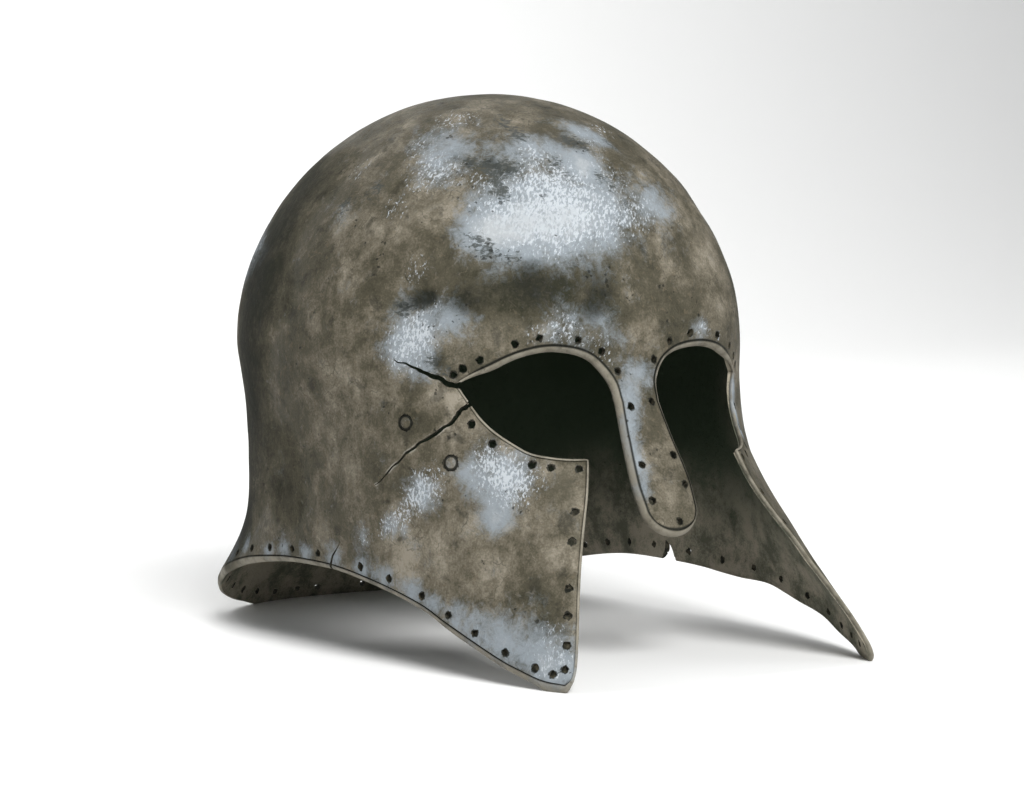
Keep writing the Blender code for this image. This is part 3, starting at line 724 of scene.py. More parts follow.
def rim_frames(mesh, loop):
    """Give each rim point its outward normal, its direction past the rim and its lip."""
    names = mesh.verts.layers.int["edge"]
    corners = [skin(side, *EYE_LOW[side][0]) for side in SIDES]
    count = len(loop)
    lips = smoothed([Vector(LIPS[EDGE_NAMES[point[names]]]) for point in loop])
    frames = []
    for index, point in enumerate(loop):
        run = (loop[(index + 1) % count].co - loop[index - 1].co).normalized()
        normal = (point.normal - point.normal.project(run)).normalized()
        past = normal.cross(run)
        body = sum((face.calc_center_median() for face in point.link_faces), Vector())
        if past.dot(point.co - body / len(point.link_faces)) < 0:
            past = -past
        near = min((point.co - corner).length for corner in corners)
        taper = CORNER_LIP_SHARE + (1 - CORNER_LIP_SHARE) * ease(*CORNER_TAPER, near)
        run_on, depth, edge_wall = lips[index]
        frames.append((normal, past, run_on * taper, depth * taper, edge_wall))
    return frames


def pulled_from(corners, sources):
    """Match each extruded point with the point that it was pulled from."""
    return {corner: edge.other_vert(corner) for corner in corners
            for edge in corner.link_edges if edge.other_vert(corner) in sources}


def evened_normals(points):
    """Average each point's normal with its neighbours', so that the inner face can't fold."""
    normals = {point: point.normal.copy() for point in points}
    for step in range(NORMAL_SMOOTHING):
        normals = {point: sum((normals[edge.other_vert(point)] for edge in point.link_edges),
                              normals[point]).normalized() for point in points}
    return normals


def worn_flat(rise):
    """Lower what stands just above the ground until it rests flat on it."""
    if rise > FOOT_BLEND:
        return rise
    return max(rise - FOOT_REACH, 0.0) * FOOT_BLEND / (FOOT_BLEND - FOOT_REACH)


def search_tree(points):
    """Sort points so that the nearest one is quickly found."""
    tree = KDTree(len(points))
    for index, point in enumerate(points):
        tree.insert(point, index)
    tree.balance()
    return tree


def lay_inner_face(mesh, rim, frames, places, inner_mark):
    """Copy the skin inwards by the wall, and give the copy's rim points by their place."""
    tree = search_tree(rim)
    outer = list(mesh.verts)
    normals = evened_normals(outer)
    copy = bmesh.ops.duplicate(mesh, geom=mesh.verts[:] + mesh.edges[:] + mesh.faces[:])
    twins = copy["vert_map"]
    inner_rim = {}
    for point in outer:
        twin = twins[point]
        spot, index, distance = tree.find(point.co)
        edge_wall = frames[index][4]
        wall = WALL + (edge_wall - WALL) * (1 - ease(0.0, RIM_FADE, distance))
        twin.co = point.co - normals[point] * wall
        twin[inner_mark] = 1.0
        if point in places:
            inner_rim[places[point]] = twin
    bmesh.ops.reverse_faces(mesh, faces=of_kind(copy["geom"], bmesh.types.BMFace))
    return inner_rim


def pull_lip(mesh, row, rim, frames, places, marks):
    """Pull the lip's rings out of the rim, and give the last row with its points' places."""
    lip_mark, crease_mark, inner_mark = marks
    for ring_index, (share, bulge) in enumerate(LIP_RINGS):
        ring, row = pull_row(mesh, row)
        new_places = {}
        for corner, source in pulled_from(ring, places).items():
            index = places[source]
            normal, past, run, depth, edge_wall = frames[index]
            outwards = (normal * run + past * depth) / math.hypot(run, depth)
            corner.co = (rim[index] + (past * run - normal * depth) * share
                         + outwards * LIP_THICKNESS * bulge)
            corner.co.z = worn_flat(corner.co.z)
            corner[crease_mark] = CREASE_ON_LIP * source[crease_mark] if ring_index == 0 else 0.0
            corner[lip_mark] = 1.0
            corner[inner_mark] = ease(INNER_FROM, 1.0, ring_index / (len(LIP_RINGS) - 1))
            new_places[corner] = index
        places = new_places
    return row, places


def build_wall(mesh):
    """Add the lip's rings and the inner face, and mark them all with their shares."""
    marks = [mesh.verts.layers.float.new(name) for name in SKIN_MARKS]
    crease_mark, inner_mark = marks[1:]
    loop = walk_rim(mesh)
    frames = rim_frames(mesh, loop)
    places = {point: index for index, point in enumerate(loop)}
    rim = [point.co.copy() for point in loop]
    row = [edge for edge in mesh.edges if edge.is_boundary]
    inner_rim = lay_inner_face(mesh, rim, frames, places, inner_mark)
    for point in loop:
        normal, past, run, depth, edge_wall = frames[places[point]]
        point.co = point.co - normal * GROOVE_DEPTH
        point[crease_mark] = min(math.hypot(run, depth) / WIDE_LIP, 1.0)
    row, places = pull_lip(mesh, row, rim, frames, places, marks)
    ring, row = pull_row(mesh, row)
    for corner, source in pulled_from(ring, places).items():
        corner.co = inner_rim[places[source]].co
        corner[inner_mark] = 1.0
    bmesh.ops.remove_doubles(mesh, verts=ring + list(inner_rim.values()), dist=SEAM_MERGE)
    bmesh.ops.recalc_face_normals(mesh, faces=mesh.faces)
    return rim


rim_points = build_wall(skin_mesh)
open_count = sum(not edge.is_manifold for edge in skin_mesh.edges)
print("Shell:", len(skin_mesh.faces), "faces, open edges:", open_count)

# %% [markdown]
# Small holes for a lining run along every edge, two cracks run back from the right eye,
# and the low rim has a nick and a notch. They are cut right through the wall. No two
# holes are alike and the sides of a crack are rough, because each cutter has a wobbly
# outline. Each cutter carries a material of dirt and painted shade, and the wall of the
# cut takes it over, so the holes stay dark inside. Holes that are only painted on would
# look right from afar, but they would let no light through.

# %% Holes and cracks
HOLE_RADIUS = 0.0016
HOLE_INSET = 0.0034
HOLE_SIDES = 14
HOLE_SIZES = (0.86, 1.06)
HOLE_WOBBLE = 0.50
HOLE_RAGGEDNESS = 1.7
HOLE_SEED = 11
RIVET_RADIUS = 0.0030
RIVET_GAP = 0.0003
RIVET_SIDES = 40
CRACK_WIDTH = 0.0019
NOTCH_WIDTH = 0.0062
CRACK_STEP = 0.0011
CRACK_RUN_STEP = 0.02
CRACK_LEAST_WIDTH = 0.0003
CRACK_WOBBLE = 0.00055
CRACK_ROUGH_SIZE = 0.0016
CRACK_SWAY_SIZE = 0.0050
CRACK_SEED = 5
CUT_REACH = 0.008
CRISP_ANGLE = 50.0

# How far apart in the noise the cutters, the two sides of a crack and its sway are
NOISE_SPREAD = 40
SIDE_SHIFT = 7
SWAY_SHIFT = 9.0

# Where the lining holes are along each edge of each half, as shares of its length
HOLES = {
    "right": {
        "nasal": (0.02, 0.32, 0.56),
        "arch": (0.03, 0.16, 0.30, 0.47, 0.58, 0.75, 0.88, 0.97),
        "eye_low": (0.24, 0.40, 0.66, 0.77, 0.94),
        "front": (0.22, 0.345, 0.495, 0.605, 0.73, 0.84),
        "low_rim": (0.035, 0.078, 0.16, 0.218, 0.275, 0.333, 0.378, 0.413, 0.466, 0.50,
                    0.545, 0.59, 0.63, 0.67, 0.71, 0.75, 0.79, 0.83, 0.87, 0.91, 0.95, 0.985),
    },
    "left": {
        "nasal": (0.00, 0.28, 0.46, 0.95),
        "arch": (0.08, 0.22, 0.36, 0.55, 0.70, 0.84, 0.96),
        "eye_low": (0.22, 0.40, 0.60, 0.78, 0.95),
        "front": (0.20, 0.34, 0.48, 0.61, 0.74, 0.86),
        "low_rim": (0.04, 0.09, 0.145, 0.20, 0.255, 0.31, 0.36, 0.41, 0.455, 0.50,
                    0.545, 0.59, 0.63, 0.67, 0.71, 0.75, 0.79, 0.83, 0.87, 0.91, 0.95),
    },
}

# Holes that soil has filled, so that they have a dark floor
CLOGGED = {
    ("right", "front"): (0.495, 0.605, 0.73, 0.84),
    ("right", "low_rim"): (0.035, 0.078, 0.16, 0.218, 0.275, 0.333),
}
CLOGGED_DEPTH = 0.0012

# Which way the sheet lies from each edge, as a change of turn and level
SHEET_SIDE = {
    "nasal": (-1.5, -0.02),
    "arch": (0.0, -0.08),
    "eye_low": (4.0, 0.06),
    "front": (6.0, 0.0),
    "low_rim": (0.0, -0.06),
}

# Cracks, nick and notch as side, width, and places of turn, level and share of the width
CRACKS = (
    ("right", CRACK_WIDTH, ((41.5, 0.092, 1.6), (46.5, 0.072, 1.2), (50.1, 0.051, 0.9),
                            (54.5, 0.025, 0.5), (58.5, 0.005, 0.2))),
    ("right", CRACK_WIDTH, ((40.5, 0.136, 1.3), (44.5, 0.155, 1.0), (48.5, 0.200, 0.8),
                            (54.7, 0.246, 0.7), (61.0, 0.300, 0.5), (65.7, 0.352, 0.4),
                            (70.5, 0.410, 0.2))),
    ("right", NOTCH_WIDTH, ((84.5, 0.740, 0.30), (83.6, 0.686, 0.20), (81.0, 0.610, 0.03))),
    ("left", NOTCH_WIDTH, ((89.0, 0.836, 2.60), (89.0, 0.800, 1.70), (89.0, 0.768, 1.00),
                           (89.5, 0.732, 0.05))),
)
RIVETS = {
    "rivet_upper": (59.5, 0.205),
    "rivet_lower": (51.6, 0.325),
}


def aimed(side, turn, level):
    """Give the matrix that stands on the skin at a place, its Z axis pointing out."""
    turned = outward(side, turn, level).to_track_quat("Z", "X").to_matrix().to_4x4()
    return Matrix.Translation(skin(side, turn, level)) @ turned


def inset_matrix(side, name, share):
    """Stand on the skin a hole's inset away from an edge."""
    near = 0.01
    edge = edge_path(side, name)
    before, after = edge(max(share - near, 0.0)), edge(min(share + near, 1.0))
    turn, level = edge(share)
    normal = outward(side, turn, level)
    run = skin(side, *after) - skin(side, *before)
    inwards = normal.cross(run).normalized()
    turn_step, level_step = SHEET_SIDE[name]
    body = skin(side, max(turn + turn_step, 0.0), level + level_step) - skin(side, turn, level)
    if inwards.dot(body) < 0:
        inwards = -inwards
    spot = skin(side, turn, level) + inwards * HOLE_INSET
    return Matrix.Translation(spot) @ normal.to_track_quat("Z", "X").to_matrix().to_4x4()


def drill(mesh, matrix, radius, sides, wobble, dice, floor=CUT_REACH):
    """Add one round cutter with an uneven outline, whose floor is that deep."""
    made = bmesh.ops.create_cone(mesh, cap_ends=True, segments=sides, radius1=radius,
                                 radius2=radius, depth=CUT_REACH + floor)
    bmesh.ops.translate(mesh, verts=made["verts"], vec=(0.0, 0.0, (CUT_REACH - floor) / 2))
    start = Vector((dice.random(), dice.random(), dice.random())) * NOISE_SPREAD
    for corner in made["verts"]:
        around = Vector((corner.co.x, corner.co.y, 0.0)) / radius
        swell = 1 + wobble * noise.noise(start + around * HOLE_RAGGEDNESS)
        corner.co.x *= swell
        corner.co.y *= swell
    bmesh.ops.transform(mesh, matrix=matrix, verts=made["verts"])


def slit(mesh, side, width, path, dice):
    """Add one long cutter whose two sides are rough."""
    length = sum((skin(side, *start[:2]) - skin(side, *end[:2])).length
                 for start, end in zip(path, path[1:]))
    steps = round(length / CRACK_STEP)
    made = bmesh.ops.create_grid(mesh, x_segments=steps, y_segments=1, size=0.5)
    start = NOISE_SPREAD * dice.random()
    normals = {}
    for corner in made["verts"]:
        share = corner.co.x + 0.5
        turn, level, spread = along(path, share)
        ahead = along(path, min(share + CRACK_RUN_STEP, 1.0))
        behind = along(path, max(share - CRACK_RUN_STEP, 0.0))
        normal = outward(side, turn, level)
        run = skin(side, *ahead[:2]) - skin(side, *behind[:2])
        beside = start + SIDE_SHIFT * (corner.co.y > 0)
        rough_place = Vector((share * length / CRACK_ROUGH_SIZE, beside, 0.0))
        sway_place = Vector((share * length / CRACK_SWAY_SIZE, start, SWAY_SHIFT))
        rough = CRACK_WOBBLE * noise.noise(rough_place)
        sway = CRACK_WOBBLE * noise.noise(sway_place)
        half_gap = corner.co.y * max(width * spread, CRACK_LEAST_WIDTH)
        offset = half_gap + rough * min(spread, 1.0) + 2 * sway
        corner.co = (skin(side, turn, level) + normal.cross(run).normalized() * offset
                     - normal * CUT_REACH)
        normals[corner] = normal
    faces = {face for corner in made["verts"] for face in corner.link_faces}
    top = bmesh.ops.extrude_face_region(mesh, geom=list(faces))["geom"]
    for corner, source in pulled_from(of_kind(top, bmesh.types.BMVert), normals).items():
        corner.co = source.co + normals[source] * 2 * CUT_REACH


def hole_cutter(material):
    """Build the cutter of all the lining holes and rivet holes, and list the lining holes."""
    dice = random.Random(HOLE_SEED)
    mesh = bmesh.new()
    spots = []
    for side in SIDES:
        for name, shares in HOLES[side].items():
            for share in shares:
                matrix = inset_matrix(side, name, share)
                radius = HOLE_RADIUS * dice.uniform(*HOLE_SIZES)
                clogged = share in CLOGGED.get((side, name), ())
                drill(mesh, matrix, radius, HOLE_SIDES, HOLE_WOBBLE, dice,
                      CLOGGED_DEPTH if clogged else CUT_REACH)
                spots.append(matrix.translation)
    for place in RIVETS.values():
        drill(mesh, aimed("right", *place), RIVET_RADIUS + RIVET_GAP, RIVET_SIDES, 0.0, dice)
    bmesh.ops.recalc_face_normals(mesh, faces=mesh.faces)
    return add_piece("hole_cutter", mesh, material), spots


def crack_cutter(material):
    """Build the cutter of the cracks, the nick and the notch."""
    dice = random.Random(CRACK_SEED)
    mesh = bmesh.new()
    for side, width, path in CRACKS:
        slit(mesh, side, width, path, dice)
    bmesh.ops.recalc_face_normals(mesh, faces=mesh.faces)
    return add_piece("crack_cutter", mesh, material)


def cut_through(shell, cutters):
    """Take the cutters out of the shell and keep the result as its mesh."""
    for cutter in cutters:
        cut = shell.modifiers.new(cutter.name, "BOOLEAN")
        cut.operation = "DIFFERENCE"
        cut.solver = "EXACT"
        cut.material_mode = "TRANSFER"
        cut.object = cutter
    graph = bpy.context.evaluated_depsgraph_get()
    data = bpy.data.meshes.new_from_object(shell.evaluated_get(graph))
    shell.modifiers.clear()
    shell.data = data
    for cutter in cutters:
        bpy.data.objects.remove(cutter)


patina = bpy.data.materials.new("patina")
hole_dirt_and_shade = bpy.data.materials.new("hole_dirt_and_shade")
shell_data = bpy.data.meshes.new("shell_skin")
skin_mesh.to_mesh(shell_data)
shell_data.materials.append(patina)
shell_piece = bpy.data.objects.new("bronze_shell", shell_data)
bpy.context.scene.collection.objects.link(shell_piece)
round_cutter, hole_spots = hole_cutter(hole_dirt_and_shade)
cut_through(shell_piece, [round_cutter, crack_cutter(hole_dirt_and_shade)])
print("Holes:", len(hole_spots), "faces after the cuts:", len(shell_piece.data.polygons))
print("Materials:", [material.name for material in shell_piece.data.materials])

# %% [markdown]
# Two flush rivets mend the torn side. Each is one turned piece: a hammered end that fills
# its hole to the level of the skin, with a worn groove round it, and a flat head inside.
# Its half outline is drawn once and spun about its own axis.

# %% Rivets
RIVET_SEAT = -0.0023
RIVET_HEAD_RADIUS = 0.0048
RIVET_HEAD_FOOT = -0.0035
RIVET_GROOVE = (-0.0006, -0.0001)
RIVET_MERGE = 0.000005

# The rivet's half outline as radius and rise
RIVET_PROFILE = (
    (0.0, 0.00030), (0.0010, 0.00028), (0.0017, 0.00018), (0.0021, 0.00002), (0.0023, -0.00022),
    (0.0025, -0.00030), (0.0027, -0.00020), (0.0029, -0.00026), (RIVET_RADIUS, -0.0005),
    (RIVET_RADIUS, RIVET_SEAT), (RIVET_HEAD_RADIUS - 0.0002, RIVET_SEAT),
    (RIVET_HEAD_RADIUS, RIVET_SEAT - 0.0002), (RIVET_HEAD_RADIUS - 0.0002, RIVET_SEAT - 0.0006),
    (RIVET_HEAD_RADIUS - 0.0010, RIVET_HEAD_FOOT), (0.0, RIVET_HEAD_FOOT),
)


def add_rivet(node, material):
    """Spin a rivet and stand it in its hole."""
    mesh = bmesh.new()
    dirt = mesh.verts.layers.float.new("crease")
    points = [mesh.verts.new((radius, 0.0, rise)) for radius, rise in RIVET_PROFILE]
    for point in points:
        point[dirt] = 1.0 if RIVET_GROOVE[0] < point.co.z < RIVET_GROOVE[1] else 0.0
    edges = [mesh.edges.new(pair) for pair in zip(points, points[1:])]
    bmesh.ops.spin(mesh, geom=points + edges, cent=(0, 0, 0), axis=(0, 0, 1), dvec=(0, 0, 0),
                   angle=2 * math.pi, steps=RIVET_SIDES, use_merge=True, use_duplicate=False)
    bmesh.ops.remove_doubles(mesh, verts=mesh.verts, dist=RIVET_MERGE)
    bmesh.ops.recalc_face_normals(mesh, faces=mesh.faces)
    bmesh.ops.transform(mesh, matrix=aimed("right", *RIVETS[node]), verts=mesh.verts)
    rivet = add_piece(node + "_turned", mesh, material)
    rivet.data.shade_smooth()
    rivet.data.set_sharp_from_angle(angle=math.radians(CRISP_ANGLE))
    return rivet


rivet_bronze = bpy.data.materials.new("rivet_bronze")
rivet_pieces = {node: add_rivet(node, rivet_bronze) for node in RIVETS}
print("Rivets:", list(rivet_pieces))

# %% [markdown]
# The patina has grown in patches, and painted light and shade are laid in with it. Bloom
# is the pale bluish crust, and haze the soft grey-blue veil round it; both are partly
# painted highlights on the brow, the nasal and the cheeks. Char breaks the haze up into
# dark streaks, partly painted shade of the crown's wrinkles. Stains are dark and gather
# in the hollows, and they are partly painted shade: in the dents, along the near cheek's
# front edge and over the rear and top of the dome. Tan is left where hands and soil have
# rubbed, and is partly painted light on the forehead and the dome's sides. The metal is
# pitted in a few places. Each patch is a soft round spot on the skin. All the spots of a
# kind add up to one number at each point of the mesh, and the materials read it as an
# attribute. The distances from the rim and from the nearest hole, rivet and crack are
# kept in the same way. Painted maps would need an unwrapped skin, and these spots sit on
# the same turns and levels as the form.

# %% Marks of age, with painted light and shade
# Each spot is a turn, a level, a radius as a share of the half width, and a strength
SPOTS = {
    # Char: dark streaks, partly painted shade of the crown's wrinkles and of the dint
    "char_and_shade": {
        "right": ((29, -0.89, 0.05, 1.10), (23, -0.85, 0.05, 1.10), (22, -0.81, 0.05, 0.90),
                  (42, -0.73, 0.05, 1.10), (34, -0.71, 0.05, 1.30), (27, -0.71, 0.05, 1.20),
                  (33, -0.65, 0.05, 1.10), (30, -0.61, 0.04, 1.10), (4, -0.81, 0.05, 1.10),
                  (11, -0.73, 0.04, 1.10), (9, -0.67, 0.04, 1.10), (0, -0.67, 0.04, 1.00),
                  (39, -0.43, 0.05, 1.00), (35, -0.39, 0.05, 1.20), (28, -0.36, 0.05, 1.00),
                  (51, -0.23, 0.05, 1.20), (57, -0.19, 0.05, 1.20), (49, 0.01, 0.04, 1.20),
                  (46, 0.05, 0.04, 0.90), (72, -0.62, 0.07, 1.00), (81, -0.55, 0.06, 0.90),
                  (118, -0.35, 0.15, 0.80), (134, 0.62, 0.10, 0.70)),
        "left": ((1, -0.79, 0.05, 1.10), (2, -0.63, 0.04, 0.90), (14, -0.80, 0.05, 0.90),
                 (52, -0.45, 0.12, 0.80), (140, -0.50, 0.15, 0.80)),
    },
    "pitted": {
        "right": ((31, -0.59, 0.045, 1.00), (19, -0.61, 0.040, 1.00), (16, -0.47, 0.035, 1.20),
                  (36, -0.39, 0.050, 1.20), (30, -0.37, 0.040, 0.90), (74, -0.50, 0.06, 0.70),
                  (43, 0.80, 0.05, 0.70), (45, 0.02, 0.03, 0.70), (150, 0.20, 0.07, 0.90),
                  (125, -0.30, 0.06, 0.90)),
        "left": ((45, -0.40, 0.06, 0.90), (100, 0.30, 0.08, 0.90), (135, -0.45, 0.06, 0.80)),
    },
    # Bloom: the pale bluish crust, partly a painted highlight on the brow, the crown and the
    # cheeks
    "bloom_and_highlight": {
        "right": ((19, -0.51, 0.15, 1.10), (28, -0.50, 0.12, 0.80), (10, -0.53, 0.13, 1.10),
                  (34, -0.55, 0.08, 0.55), (37, -0.45, 0.07, 0.50), (49, -0.69, 0.09, 0.80),
                  (35, -0.66, 0.07, 0.75), (20, -0.66, 0.10, 0.90), (8, -0.67, 0.09, 0.80),
                  (17, -0.76, 0.07, 0.90), (53, -0.89, 0.09, 0.80), (57, -0.69, 0.09, 0.70),
                  (62, -0.79, 0.08, 0.60), (63, -0.55, 0.05, 0.80), (83, -0.69, 0.07, 0.50),
                  (80, -0.53, 0.05, 0.35), (56, -0.03, 0.09, 1.15), (53, -0.12, 0.07, 1.10),
                  (50, -0.08, 0.05, 0.70), (48, -0.22, 0.05, 0.60), (54, -0.33, 0.06, 0.60),
                  (18, -0.11, 0.06, 0.75), (13, -0.09, 0.06, 0.65), (24, -0.09, 0.04, 0.40),
                  (7, -0.05, 0.05, 0.75), (5, 0.01, 0.03, 0.50), (41, 0.35, 0.10, 1.10),
                  (38, 0.39, 0.08, 0.95), (44, 0.32, 0.06, 0.90), (58, 0.39, 0.07, 1.10),
                  (62, 0.45, 0.06, 1.10), (66, 0.51, 0.06, 1.00), (70, 0.55, 0.05, 0.80),
                  (75, 0.59, 0.05, 0.60), (42, 0.91, 0.08, 0.90), (41, 0.82, 0.05, 0.60),
                  (116, -0.38, 0.09, 0.80), (124, -0.28, 0.06, 0.80), (127, -0.42, 0.05, 0.70),
                  (148, 0.22, 0.06, 0.80), (154, 0.33, 0.07, 0.80), (133, 0.64, 0.07, 0.80),
                  (168, -0.58, 0.11, 0.80), (158, -0.50, 0.07, 0.80), (175, -0.68, 0.07, 0.80),
                  (163, -0.12, 0.04, 0.60)),
        "left": ((0, -0.52, 0.12, 0.90), (8, -0.55, 0.09, 0.60), (4, -0.68, 0.07, 0.60),
                 (19, -0.85, 0.07, 0.70), (4, -0.80, 0.08, 0.50), (21, -0.09, 0.04, 0.95),
                 (27, -0.06, 0.03, 0.80), (50, -0.48, 0.08, 0.80), (58, -0.38, 0.06, 0.80),
                 (84, -0.15, 0.05, 0.70), (91, -0.24, 0.07, 0.80), (62, 0.35, 0.08, 0.95),
                 (68, 0.46, 0.07, 0.90), (56, 0.27, 0.05, 0.80), (45, 0.88, 0.09, 0.90),
                 (53, 0.85, 0.05, 0.80), (106, 0.55, 0.06, 0.80), (116, 0.47, 0.04, 0.70),
                 (143, -0.52, 0.09, 0.80), (132, -0.60, 0.07, 0.80), (152, -0.40, 0.06, 0.80),
                 (160, 0.38, 0.04, 0.80), (104, -0.66, 0.05, 0.70), (96, -0.60, 0.05, 0.70)),
    },
    # Haze: the grey-blue veil, partly a painted highlight, as along the nasal's side
    "haze_and_highlight": {
        "right": ((19, -0.51, 0.22, 1.00), (5, -0.53, 0.20, 0.90), (31, -0.50, 0.17, 0.80),
                  (37, -0.45, 0.10, 0.70), (59, -0.79, 0.13, 0.50), (50, -0.80, 0.12, 0.45),
                  (16, -0.78, 0.09, 0.95), (3, -0.74, 0.08, 0.90),
                  (2, -0.69, 0.07, 0.70), (31, -0.77, 0.09, 0.60), (80, -0.53, 0.08, 0.45),
                  (43, -0.15, 0.08, 0.60), (53, -0.12, 0.13, 0.90), (56, 0.00, 0.09, 0.70),
                  (50, 0.05, 0.05, 0.50), (6, -0.13, 0.08, 0.45), (13, -0.11, 0.09, 0.50),
                  (20, -0.10, 0.07, 0.45), (1, 0.06, 0.07, 0.75), (2, 0.14, 0.06, 0.80),
                  (4, 0.21, 0.06, 0.95), (5, 0.28, 0.06, 0.95), (5, 0.35, 0.06, 0.85),
                  (6, 0.42, 0.05, 0.70), (41, 0.36, 0.14, 1.00),
                  (45, 0.50, 0.07, 0.85), (49, 0.36, 0.07, 0.60), (60, 0.43, 0.08, 0.85),
                  (68, 0.53, 0.07, 0.75), (75, 0.59, 0.06, 0.60), (42, 0.94, 0.11, 0.95),
                  (44, 0.88, 0.14, 0.50), (49, 0.84, 0.14, 0.50), (52, 0.85, 0.08, 0.50),
                  (56, 0.82, 0.08, 0.70), (59, 0.80, 0.06, 0.60), (63, 0.77, 0.06, 0.80),
                  (67, 0.74, 0.06, 0.90), (72, 0.71, 0.06, 0.95), (77, 0.69, 0.06, 0.95),
                  (83, 0.67, 0.06, 0.95), (89, 0.67, 0.05, 1.00), (95, 0.67, 0.05, 1.00),
                  (101, 0.69, 0.05, 0.90), (52, -0.69, 0.10, 0.60), (3, -0.05, 0.07, 0.30),
                  (117, -0.37, 0.15, 0.70), (126, -0.30, 0.12, 0.60), (151, 0.28, 0.12, 0.70),
                  (143, 0.15, 0.08, 0.50), (134, 0.62, 0.11, 0.70), (124, 0.66, 0.07, 0.50),
                  (168, -0.58, 0.17, 0.70), (156, -0.48, 0.12, 0.60), (176, -0.70, 0.13, 0.60),
                  (150, 0.90, 0.07, 0.70), (142, 0.85, 0.06, 0.70), (159, 0.93, 0.06, 0.70),
                  (120, 0.73, 0.06, 0.70), (112, 0.69, 0.05, 0.80), (129, 0.77, 0.05, 0.60)),
        "left": ((15, -0.57, 0.13, 0.80), (4, -0.85, 0.08, 0.90), (12, -0.81, 0.07, 0.90),
                 (20, -0.08, 0.06, 0.70), (2, 0.05, 0.07, 0.50), (39, 0.20, 0.05, 1.60),
                 (40, 0.12, 0.05, 1.50), (38, 0.27, 0.04, 1.20),
                 (50, -0.48, 0.13, 0.70), (59, -0.36, 0.11, 0.60), (90, -0.22, 0.12, 0.60),
                 (82, -0.12, 0.08, 0.50), (63, 0.38, 0.12, 0.80), (55, 0.26, 0.09, 0.70),
                 (70, 0.50, 0.08, 0.60), (45, 0.88, 0.11, 1.00), (54, 0.86, 0.07, 0.80),
                 (63, 0.83, 0.06, 0.80), (72, 0.78, 0.06, 0.80), (107, 0.54, 0.10, 0.70),
                 (117, 0.46, 0.08, 0.50), (143, -0.52, 0.15, 0.70), (131, -0.61, 0.12, 0.60),
                 (153, -0.38, 0.10, 0.60), (160, 0.38, 0.09, 0.70), (155, 0.50, 0.07, 0.50),
                 (105, -0.66, 0.10, 0.60), (95, -0.58, 0.09, 0.60), (120, 0.80, 0.06, 0.70),
                 (130, 0.84, 0.06, 0.70), (146, 0.90, 0.07, 0.70)),
    },
    # Stains: dark patches, partly painted shade in the dents, along the near cheek's front edge
    # and over the rear and top of the dome
    "stain_and_shade": {
        "right": ((50, -0.235, 0.042, 1.15), (54, -0.215, 0.044, 1.15), (58, -0.190, 0.036, 1.00),
                  (104, -0.60, 0.26, 0.80), (106, -0.27, 0.27, 1.05), (108, 0.05, 0.25, 0.90),
                  (112, 0.32, 0.24, 0.90), (118, 0.56, 0.20, 0.80), (120, 0.74, 0.10, 0.70),
                  (132, 0.83, 0.09, 0.60), (90, -0.19, 0.15, 0.30),
                  (91, 0.29, 0.15, 0.35), (93, 0.49, 0.18, 0.75), (40, -0.99, 0.30, 0.45),
                  (80, 0.52, 0.10, 0.40),
                  (40, -0.22, 0.12, 1.00), (51, -0.43, 0.10, 0.70), (64, -0.63, 0.09, 0.60),
                  (7, -0.25, 0.14, 1.00), (24, -0.26, 0.14, 1.15), (76, -0.09, 0.12, 0.40),
                  (91, -0.71, 0.20, 0.35), (47, -0.75, 0.040, 0.90), (41, -0.72, 0.036, 0.80),
                  (34, -0.73, 0.042, 1.00), (29, -0.69, 0.040, 1.00), (24, -0.70, 0.030, 0.60),
                  (32, -0.595, 0.030, 0.80), (25, -0.600, 0.030, 0.90), (17, -0.610, 0.030, 0.80),
                  (10, -0.75, 0.034, 0.60), (5, -0.88, 0.040, 0.60), (14, -0.70, 0.030, 0.60),
                  (47, 0.01, 0.040, 1.10), (40, 0.73, 0.050, 0.80), (39, 0.60, 0.040, 0.50),
                  (43, 0.81, 0.045, 0.40), (50, 0.60, 0.060, 0.35), (9, -0.16, 0.050, 0.50),
                  (1, -0.04, 0.040, 0.50), (120, 0.65, 0.12, 0.50), (140, 0.00, 0.22, 0.60),
                  (125, -0.65, 0.15, 0.50), (170, 0.20, 0.15, 0.50)),
        "left": ((10, -0.13, 0.040, 0.60), (5, -0.67, 0.030, 0.60), (14, -0.80, 0.035, 0.50),
                 (47, -0.25, 0.14, 0.50), (33, -0.55, 0.10, 0.40), (90, -0.10, 0.20, 0.45),
                 (40, 0.30, 0.12, 0.40), (120, 0.10, 0.22, 0.60), (160, -0.20, 0.22, 0.60),
                 (75, 0.60, 0.12, 0.40), (110, -0.50, 0.14, 0.50), (126, 0.80, 0.14, 0.50),
                 (148, 0.85, 0.18, 0.50), (168, 0.88, 0.16, 0.50)),
    },
    # Tan: pale rubbed bronze, partly painted light on the forehead and the dome's sides
    "tan_and_painted_light": {
        "right": ((46, 0.13, 0.050, 1.30), (51, 0.11, 0.050, 0.80), (70, 0.15, 0.12, 0.40),
                  (52, -0.07, 0.05, 0.30), (37, 0.53, 0.13, 0.50), (50, 0.64, 0.12, 0.60),
                  (68, 0.65, 0.10, 1.30), (60, 0.60, 0.10, 0.80), (83, -0.47, 0.10, 0.25),
                  (43, 0.20, 0.04, 0.80), (38, 0.30, 0.05, 0.70), (30, 0.34, 0.06, 0.60),
                  (27, 0.45, 0.05, 0.50), (30, 0.60, 0.05, 0.50), (37, 0.80, 0.05, 0.60),
                  (1, 0.45, 0.06, 0.60), (78, 0.33, 0.10, 0.25), (46, -0.62, 0.08, 0.40),
                  (45, -0.90, 0.12, 0.50), (30, -0.96, 0.12, 0.40), (110, 0.45, 0.14, 0.50),
                  (160, 0.75, 0.14, 0.60), (140, -0.30, 0.12, 0.40)),
        "left": ((3, -0.07, 0.09, 1.30), (13, -0.22, 0.10, 0.40), (25, -0.47, 0.18, 0.65),
